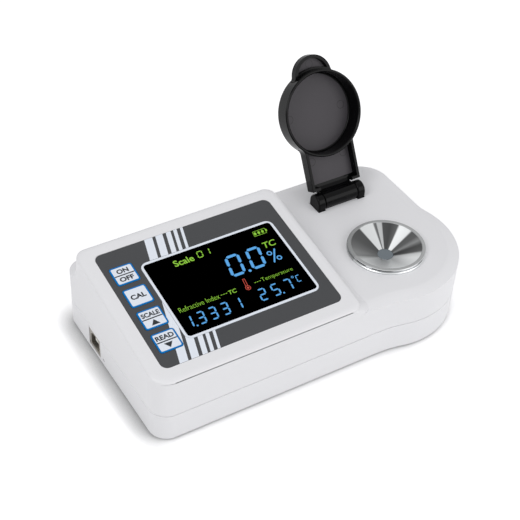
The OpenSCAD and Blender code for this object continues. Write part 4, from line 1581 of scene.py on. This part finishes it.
@dataclass
class SampleWell:
    """The turned steel well with its prism."""

    space: Space
    cone_r: float = 17.2
    rim_r: float = 19.1
    rim_h: float = 2.5
    flange_r: float = 19.5
    flange_h: float = 1.1
    cone_depth: float = 6.2
    prism_r: float = 3.9
    body_r: float = 16.4
    shank: float = 2.2
    steps: int = 192
    # Painted reflection on the cone: bright and dark wedge shapes as (angle in degrees, brightness) stops
    cone_painted_reflection_stops: tuple[tuple[float, float], ...] = (
        (-178, 0.42), (-170, 0.75), (-150, 0.8), (-112, 1.0), (-90, 0.8), (-60, 0.95), (-48, 0.8), (-42, 0.16),
        (-26, 0.12), (-15, 0.34), (-5, 0.13), (8, 0.1), (11, 0.8), (32, 0.86), (35, 0.12), (48, 0.07), (62, 0.09),
        (63.5, 0.55), (71.5, 0.6), (73, 0.16), (77, 0.2), (79, 0.84), (104, 0.82), (107, 0.1), (130, 0.11),
        (152, 0.17), (168, 0.26),
    )  # fmt: skip
    # Painted reflection on the rim's outer wall: bright and dark wedge shapes as (angle in degrees, brightness) stops
    rim_painted_reflection_stops: tuple[tuple[float, float], ...] = (
        (-175, 0.5), (-172, 0.06), (-158, 0.05), (-156, 1.0), (-148, 1.0), (-146, 0.06), (-118, 0.1), (-115, 0.6),
        (-104, 0.55), (-101, 1.0), (-74, 1.0), (-71, 0.08), (-64, 0.1), (-61, 1.0), (-20, 0.8), (90, 0.6), (160, 0.3),
    )  # fmt: skip

    def steel(
        self, name: str, roughness: float, painted_reflection_stops: tuple[tuple[float, float], ...], lift: float
    ) -> TurnedSteel:
        """Gives the steel of one of the well's faces.

        Args:
            name: The material's name.
            roughness: How matt it is.
            painted_reflection_stops: Where its painted reflection makes it bright and dark round the axis.
            lift: How strong its turning rings are.

        Returns:
            The finish.
        """
        wx, wy = self.space.well.translation.xy
        return TurnedSteel(
            name, "#E4E6E7", roughness, 1.0, grain_mm=0.1, grain_lift=lift, axis_x=wx, axis_y=wy, painted_reflection_stops=painted_reflection_stops
        )

    def build(self) -> None:
        """Builds the well: its body with the rim, and the polished face of the cone."""
        sp = self.space
        deck = sp.sizes.deck
        rim, prism = deck + self.rim_h, deck + self.rim_h - self.cone_depth
        low = prism - self.shank
        step = deck + self.flange_h
        face = 0.04
        wall_r = self.rim_r + 0.02
        body = [
            (self.prism_r + 0.1, low),
            (self.body_r, low),
            (self.body_r, deck),
            (self.flange_r, deck),
            (self.flange_r, step - 0.3),
            (self.flange_r - 0.3, step),
            (self.rim_r - 0.35, step),
            (self.rim_r - 0.35, step + 0.25),
            (self.rim_r, step + 0.3),
            (self.rim_r, rim - 0.3),
            (self.rim_r - 0.1, rim - 0.1),
            (self.rim_r - 0.3, rim),
            (self.cone_r + 0.3, rim),
            (self.cone_r + 0.1, rim - 0.08),
            (self.cone_r, rim - 0.25),
            (self.prism_r + 0.1, prism),
        ]
        cone = [
            (self.prism_r + 0.1, prism - face),
            (self.cone_r, rim - 0.25 - face),
            (self.cone_r, rim - 0.25 + face),
            (self.prism_r + 0.1, prism + face),
        ]
        wall = [
            (self.rim_r - 0.3, step + 0.48),
            (wall_r, step + 0.5),
            (wall_r, rim - 0.3),
            (self.rim_r - 0.3, rim - 0.28),
        ]
        # Painted reflection tones by the angle round the axis: the land darkened and slightly uneven, the flange with
        # pale and darker sweeps
        even = ((0.0, 0.46), (120.0, 0.36), (-120.0, 0.42))
        pale = ((-150.0, 0.8), (-90.0, 0.95), (-20.0, 0.7), (120.0, 0.5), (160.0, 0.45))
        body_steel = self.steel("turned_stainless_flange", 0.3, pale, 0.05)
        rim_steel = self.steel("turned_stainless_rim", 0.14, self.rim_painted_reflection_stops, 0.03)
        land_steel = self.steel("turned_stainless_land", 0.42, even, 0.1)
        cone_steel = self.steel("turned_stainless_cone", 0.34, self.cone_painted_reflection_stops, 0.12)
        land = [
            (self.cone_r - 0.02, rim - 0.25),
            (self.rim_r - 0.02, rim - 0.25),
            (self.rim_r - 0.22, rim + face),
            (self.cone_r + 0.18, rim + face),
        ]
        for name, profile, steel, replaces in (
            ("well_body", body, body_steel, ("sample_well",)),
            ("well_wall", wall, rim_steel, ()),
            ("well_land", land, land_steel, ()),
            ("well_cone", cone, cone_steel, ()),
        ):
            mesh = smooth(lathe(profile, self.steps), 20)
            sp.piece(name, mesh, sp.well, steel, "polished_steel", replaces=replaces)


@dataclass
class Hinge:
    """The two-eared hinge base on the deck."""

    space: Space
    width: float = 28.1
    ear_t: float = 4.3
    ear_r: float = 4.5
    floor_half: float = 3.2
    pocket_depth: float = 2.4

    def build(self) -> None:
        """Builds the ears with rounded edges on their floor."""
        sp = self.space
        drop = -sp.sizes.hinge_up - self.pocket_depth
        outline = [(-self.ear_r, drop), (self.ear_r, drop)] + arc((0, 0), self.ear_r, 0, 180, 40)
        meshes = []
        for side in (-1, 1):
            ear = softened(slab(outline, -self.ear_t / 2, self.ear_t / 2), 0.8, 6)
            stand = turn(90, "Z") @ turn(90, "X")
            meshes.append(moved(ear, shift(side * (self.width - self.ear_t) / 2) @ stand))
        inner = self.width / 2 - self.ear_t / 2
        meshes.append(box_mesh((-inner, -self.floor_half, drop), (inner, self.floor_half, drop + 0.8)))
        ears = weighted(joined(meshes))
        sp.piece("hinge_ears", ears, sp.hinge, LID_PLASTIC, "lid_plastic", replaces=("hinge_base",))


@dataclass
class Lid:
    """The cup-shaped lid, its arm, knuckle and finger tab, built closed and then swung open."""

    space: Space
    open_angle: float = 118.0
    cup_r: float = 21.8
    cup_h: float = 10.4
    wall: float = 1.5
    draft: float = 0.3
    inner_round: float = 1.0
    outer_round: float = 2.4
    rim_gap: float = 0.4
    arm_w: float = 28.4
    arm_top: float = 4.3
    arm_low: float = -1.4
    arm_end: float = 5.6
    arm_fillet: float = 4.0
    scoop_r: float = 3.7
    scoop_y: float = -7.9
    tab_r: float = 10.4
    tab_tip: float = 29.3
    tab_t: float = 3.9
    tab_drop: float = 3.3
    tab_wall: float = 1.6
    tab_floor: float = 1.3
    tab_fillet: float = 3.0
    knuckle_r: float = 4.3
    knuckle_w: float = 19.0
    edge: float = 0.35
    skin: float = 0.03
    mark_r: float = 2.1
    mark_width: float = 0.22

    @property
    def reach(self) -> float:
        """Distance of the cup's axis from the hinge axis."""
        return self.space.sizes.hinge_reach

    @property
    def rim(self) -> float:
        """Height of the closed rim from the hinge axis."""
        return self.rim_gap - self.space.sizes.hinge_up

    @property
    def top(self) -> float:
        """Height of the closed lid's top from the hinge axis."""
        return self.rim + self.cup_h

    def cup(self) -> bpy.types.Mesh:
        """Turns the cup with a rounded rim and a rounded inner corner.

        Returns:
            The cup, in the lid's own coordinates.
        """
        w, top, rim = self.wall, self.top, self.rim
        r, side = self.cup_r, self.cup_r - self.draft
        inner, outer = self.inner_round, self.outer_round
        edge = w * 0.3
        profile = [(0, top - w)]
        profile += list(reversed(arc((side - w - inner, top - w - inner), inner, 0, 90, 10)))
        profile += [(r - w, rim + edge), (r - w + edge, rim), (r - edge, rim), (r, rim + edge)]
        profile += arc((side - outer, top - outer), outer, 0, 90, 10)
        profile += [(0, top)]
        return moved(lathe(profile, 180), shift(y=-self.reach))

    def plug(self, radius: float) -> bpy.types.Mesh:
        """Makes a cylinder on the cup's axis that cuts what would run into the cup."""
        return moved(rod(radius, self.rim - 5, self.top + 5, 180), shift(y=-self.reach))

    def arm(self) -> bpy.types.Mesh:
        """Makes the arm as a tray whose sides sweep out into the cup, with a scoop down to the knuckle.

        Returns:
            A closed mesh.
        """
        half, f, w = self.arm_w / 2, self.arm_fillet, self.wall
        centre_x = half + f
        centre_y = -self.reach + math.sqrt((self.cup_r + f) ** 2 - centre_x**2)
        touch = math.degrees(math.atan2(-self.reach - centre_y, -centre_x))
        fillet = arc((centre_x, centre_y), f, 180, 360 + touch, 10)
        right = [(half, -self.arm_end)] + fillet
        left = [(-x, y) for x, y in reversed(right)]
        back = -self.reach + self.cup_r / 2
        plan = left + [(-self.knuckle_w / 2, -self.arm_end), (-self.knuckle_w / 2, -0.6)]
        plan += [(self.knuckle_w / 2, -0.6), (self.knuckle_w / 2, -self.arm_end)] + right
        plan += [(half - 4, back), (-half + 4, back)]
        body = slab(plan[::-1] if area(plan) < 0 else plan, self.arm_low, self.arm_top)
        body = softened(body, self.edge, 2, 50)
        hollow_top = self.arm_top - w
        wide = box_mesh((-half + w, -self.reach, self.arm_low - 1), (half - w, -self.arm_end - w, hollow_top))
        narrow_half = self.knuckle_w / 2
        narrow = box_mesh((-narrow_half, -self.reach, self.arm_low - 1), (narrow_half, 1.0, hollow_top))
        body = combined(combined(body, wide), narrow)
        corner = arc((self.scoop_y, hollow_top - self.scoop_r), self.scoop_r, 90, 0, 12)
        section = corner + [(self.scoop_y + self.scoop_r, hollow_top + 0.2), (self.scoop_y, hollow_top + 0.2)]
        scoop = slab(section[::-1] if area(section) < 0 else section, -self.knuckle_w / 2, self.knuckle_w / 2)
        scoop = moved(scoop, turn(90, "Z") @ turn(90, "X"))
        body = combined(body, scoop, "UNION")
        return combined(body, self.plug(self.cup_r - w / 2))

    def tab_outline(self, inset: float) -> list[tuple[float, float]]:
        """Outlines the finger tab, which sweeps into the cup.

        Args:
            inset: How far inside the real outline it lies.

        Returns:
            The outline, counter-clockwise.
        """
        f, r = self.tab_fillet + inset, self.tab_r - inset
        away = self.tab_tip - self.tab_r
        cup = self.cup_r - inset
        along = (away**2 + (cup + f) ** 2 - (r + f) ** 2) / (2 * away)
        across = math.sqrt((cup + f) ** 2 - along**2)
        to_tab = math.degrees(math.atan2(along - away, across))
        to_cup = math.degrees(math.atan2(-along, -across))
        sweep = arc((across, along), f, 360 + to_cup, 180 + to_tab, 8)
        right = sweep + arc((0, away), r, to_tab, 90, 24)[1:]
        left = [(-x, y) for x, y in reversed(right)][1:]
        plan = [(-x, -y - self.reach) for x, y in right + left]
        return plan[::-1] if area(plan) < 0 else plan

    def tab(self) -> bpy.types.Mesh:
        """Makes the finger tab, hollow from below.

        Returns:
            The tab, in the lid's own coordinates.
        """
        low, high = self.top - self.tab_drop - self.tab_t, self.top - self.tab_drop
        body = softened(slab(self.tab_outline(0.0), low, high), self.edge * 1.4, 3, 50)
        away = self.reach + self.tab_tip - self.tab_r
        recess = moved(rod(self.tab_r - self.tab_wall, low - 1, high - self.tab_floor, 64), shift(y=-away))
        recess = combined(recess, self.plug(self.cup_r + 0.9))
        return combined(combined(body, recess), self.plug(self.cup_r - self.wall / 2))

    def textured_floors(self) -> bpy.types.Mesh:
        """Makes the satin faces inside the cup, the arm and the tab as thin skins.

        Returns:
            The thin faces, in the lid's own coordinates.
        """
        t = self.skin
        floor_r = self.cup_r - self.draft - self.wall - self.inner_round * 0.6
        floor_z = self.top - self.wall
        cup = moved(rod(floor_r, floor_z - t, floor_z + t, 144), shift(y=-self.reach))
        tab_z = self.top - self.tab_drop - self.tab_floor
        away = self.reach + self.tab_tip - self.tab_r
        tab = moved(rod(self.tab_r - self.tab_wall - 0.15, tab_z - t, tab_z + t, 64), shift(y=-away))
        tab = combined(tab, self.plug(self.cup_r + 1.0))
        half = self.arm_w / 2 - self.wall - 0.1
        arm_z = self.arm_top - self.wall
        arm = box_mesh((-half, -self.reach, arm_z - t), (half, self.scoop_y - 0.3, arm_z + t))
        arm = combined(arm, self.plug(self.cup_r + 0.1))
        return joined([cup, tab, arm])

    def ejector_marks(self) -> bpy.types.Mesh:
        """Makes the fine rings that ejector pins leave on the textured faces.

        Returns:
            The rings, in the lid's own coordinates.
        """
        cup_z = self.top - self.wall
        tab_z = self.top - self.tab_drop - self.tab_floor
        arm_z = self.arm_top - self.wall
        places = [
            (-15.2, -self.reach, cup_z),
            (15.2, -self.reach, cup_z),
            (0.0, -self.reach - self.cup_r - 3.0, tab_z),
            (-9.4, -20.0, arm_z),
            (9.4, -20.0, arm_z),
        ]
        t, r = self.skin * 1.6, self.mark_r
        ring = [(r - self.mark_width, -t), (r, -t), (r, t), (r - self.mark_width, t)]
        return joined([moved(lathe(ring, 48), shift(x, y, z)) for x, y, z in places])

    def build(self) -> None:
        """Builds the lid and swings it open."""
        sp = self.space
        barrel = rod(self.knuckle_r, -self.knuckle_w / 2, self.knuckle_w / 2, 96)
        knuckle = moved(softened(barrel, 0.3, 2), turn(90, "Y"))
        mesh = combined(self.cup(), self.arm(), "UNION")
        mesh = combined(mesh, self.tab(), "UNION")
        mesh = combined(mesh, knuckle, "UNION")
        swing = sp.hinge @ turn(-self.open_angle, "X")
        sp.piece("lid_moulding", weighted(mesh), swing, LID_PLASTIC, "lid_plastic", Body.LID, ("lid",))
        # The satin faces take the lighter grey of the painted sheen
        sp.piece("lid_textured_faces", self.textured_floors(), swing, LID_TEXTURE_PAINTED_SHEEN, "lid_plastic", Body.LID)
        sp.piece("lid_pin_marks", self.ejector_marks(), swing, EJECTOR_MARK, "lid_plastic", Body.LID)


NODE_FINISHES = {
    "rubber_feet": FOOT_RUBBER,
    "case_screws": ZINC_STEEL,
    "battery_cover": SHELL_ABS,
    "battery": BATTERY_JACKET,
    "battery_snap": INNER_BLACK,
    "main_board": BOARD_LAMINATE,
    "board_screws": ZINC_STEEL,
    "processor_chip": INNER_BLACK,
    "usb_shell": NICKEL_SHEET,
    "usb_tongue": INNER_WHITE,
    "reset_switch": INNER_BLACK,
    "lcd_glass": DISPLAY_GLASS,
    "lcd_backlight": INNER_WHITE,
    "lcd_holder": INNER_BLACK,
    "display_board": BOARD_LAMINATE,
    "display_screws": ZINC_STEEL,
    "key_switches": INNER_BLACK,
    "ribbon_cable": RIBBON_FILM,
    "prism": PRISM_GLASS,
    "prism_gasket": FOOT_RUBBER,
    "well_nut": NICKEL_SHEET,
    "optics_block": INNER_BLACK,
    "light_board": BOARD_LAMINATE,
    "sensor_board": BOARD_LAMINATE,
    "temperature_probe": BRASS_ROD,
    "hinge_screws": ZINC_STEEL,
    "hinge_pin": ZINC_STEEL,
}


def dress_node(name: str, finish: Finish) -> None:
    """Gives a CAD node that stays its material."""
    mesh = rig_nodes()[name].data
    mesh.materials.clear()
    mesh.materials.append(finish.build())


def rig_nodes() -> dict[str, bpy.types.Object]:
    """Gives the CAD nodes in the scene by name."""
    return {o["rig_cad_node"]: o for o in bpy.data.objects if "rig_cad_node" in o}


@dataclass
class Studio:
    """The camera at the photograph's place, a white floor and soft light."""

    camera_mm: tuple[float, float, float] = (-159.193, -319.427, 422.4)
    camera_turn: tuple[float, float, float] = (48.8332, -2.3917, -30.9031)
    lens: float = 85.365
    sensor: float = 36.0
    floor_reach: float = 6.0
    paper_gain: float = 1.42
    # Painted contact shadow on the seen paper: its reach in metres, the normal it leans to and its darkest share
    shadow_reach: float = 0.01
    shadow_lean: tuple[float, float, float] = (0.85, -0.2, 0.45)
    shadow_depth: float = 0.26
    sky: float = 0.54

    def camera(self, space: Space) -> None:
        """Sets up the camera.

        Args:
            space: The frame's places.
        """
        data = bpy.data.cameras.new("photo_camera")
        data.lens = self.lens
        data.sensor_width = self.sensor
        camera = bpy.data.objects.new("photo_camera", data)
        camera.location = space.case @ Vector(self.camera_mm)
        camera.rotation_euler = [math.radians(a) for a in self.camera_turn]
        bpy.context.scene.collection.objects.link(camera)
        bpy.context.scene.camera = camera

    def seen_straight(self, tree: bpy.types.NodeTree) -> bpy.types.NodeSocket:
        """Tells the rays that look at the surroundings: from the camera, a mirror or a clear piece.

        Args:
            tree: The tree that gets the nodes.

        Returns:
            A value of 1 for those rays.
        """
        path = add_node(tree, "ShaderNodeLightPath")
        seen = path.outputs["Is Camera Ray"]
        for kind in ("Is Glossy Ray", "Is Transmission Ray"):
            most = add_node(tree, "ShaderNodeMath", {"operation": "MAXIMUM"}, {0: seen, 1: path.outputs[kind]})
            seen = most.outputs[0]
        return seen

    def floor(self) -> None:
        """Lays the floor: it keeps the shadow, and is white where the camera sees it unshaded.

        Close to the case a painted contact shadow darkens the paper's colour, more towards the left wall's side.
        """
        r = self.floor_reach
        mesh = slab([(-r, -r), (r, -r), (r, r), (-r, r)], -0.01, 0.0)
        material = bpy.data.materials.new("white_paper_floor")
        material.use_nodes = True
        tree = material.node_tree
        tree.nodes.clear()
        paper = add_node(tree, "ShaderNodeBsdfDiffuse", inputs={"Color": linear("#F4F4F4")})
        lean = add_node(tree, "ShaderNodeCombineXYZ", inputs=dict(zip("XYZ", self.shadow_lean)))
        # Painted contact shadow: occlusion under a leaning normal darkens the seen paper's colour near the case
        near = add_node(
            tree,
            "ShaderNodeAmbientOcclusion",
            inputs={"Distance": self.shadow_reach, "Normal": lean.outputs["Vector"]},
        )
        light = add_node(
            tree,
            "ShaderNodeMapRange",
            inputs={
                "Value": near.outputs["AO"],
                "From Min": 0.25,
                "To Min": self.shadow_depth * self.paper_gain,
                "To Max": self.paper_gain,
            },
        )
        ground = add_node(tree, "ShaderNodeBsdfDiffuse", inputs={"Color": light.outputs["Result"]})
        seen = self.seen_straight(tree)
        shaders = {0: seen, 1: paper.outputs[0], 2: ground.outputs[0]}
        pick = add_node(tree, "ShaderNodeMixShader", inputs=shaders)
        add_node(tree, "ShaderNodeOutputMaterial", inputs={"Surface": pick.outputs[0]})
        mesh.materials.append(material)
        obj = bpy.data.objects.new("floor", mesh)
        bpy.context.scene.collection.objects.link(obj)
        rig.stage(obj)

    def world(self) -> None:
        """Sets an even pale sky, white for the camera and for glossy and clear surfaces."""
        world = bpy.data.worlds.new("studio")
        bpy.context.scene.world = world
        world.use_nodes = True
        tree = world.node_tree
        tree.nodes.clear()
        seen = self.seen_straight(tree)
        pale = linear("#F9F9FB")
        light = add_node(tree, "ShaderNodeBackground", inputs={"Color": pale, "Strength": self.sky})
        white = add_node(tree, "ShaderNodeBackground", inputs={"Color": (1.0, 1.0, 1.0, 1.0), "Strength": 1.0})
        pick = add_node(tree, "ShaderNodeMixShader", inputs={0: seen, 1: light.outputs[0], 2: white.outputs[0]})
        add_node(tree, "ShaderNodeOutputWorld", inputs={"Surface": pick.outputs[0]})

    def lamp(self, name: str, place: tuple[float, float, float], size: float, watts: float) -> None:
        """Hangs a square soft lamp that looks at the object.

        Args:
            name: The lamp's name.
            place: Where it hangs, in metres.
            size: The length of its sides in metres.
            watts: Its power.
        """
        data = bpy.data.lights.new(name, "AREA")
        data.size = size
        data.energy = watts
        obj = bpy.data.objects.new(name, data)
        obj.location = place
        obj.rotation_euler = (Vector((0.02, 0.0, 0.03)) - Vector(place)).to_track_quat("-Z", "Y").to_euler()
        bpy.context.scene.collection.objects.link(obj)

    def build(self, space: Space) -> None:
        """Sets up everything round the object.

        Args:
            space: The frame's places.
        """
        self.camera(space)
        self.floor()
        self.world()
        self.lamp("front_softbox", (0.55, -1.0, 0.55), 0.9, 5.2)
        self.lamp("left_softbox", (-0.8, -0.2, 0.85), 0.6, 3.9)
        self.lamp("top_softbox", (0.1, 0.35, 1.1), 0.7, 0.8)
        bpy.context.scene.view_settings.view_transform = "Standard"


def corners(pair: tuple[Vector, Vector]) -> list[list[float]]:
    """Turns two corners into plain lists."""
    return [list(pair[0]), list(pair[1])]


def main() -> None:
    """Loads the frame, builds every sub-assembly and writes the two boxes."""
    logging.basicConfig(level=logging.INFO, format="%(message)s")
    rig.load()
    cad_box = corners(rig.bounds())
    space = Space.from_frame(CaseSizes())
    for name, finish in NODE_FINISHES.items():
        dress_node(name, finish)
    keypad = Keypad(space)
    fascia = Fascia(space)
    housing = Housing(space)
    housing.upper(fascia, keypad)
    housing.lower()
    fascia.build(keypad)
    Display(space).build()
    keypad.build()
    SampleWell(space).build()
    Hinge(space).build()
    Lid(space).build()
    Studio().build(space)
    with open("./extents.json", "w") as out:
        json.dump({"cad": cad_box, "visual": corners(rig.bounds())}, out)


if __name__ == "__main__":
    main()
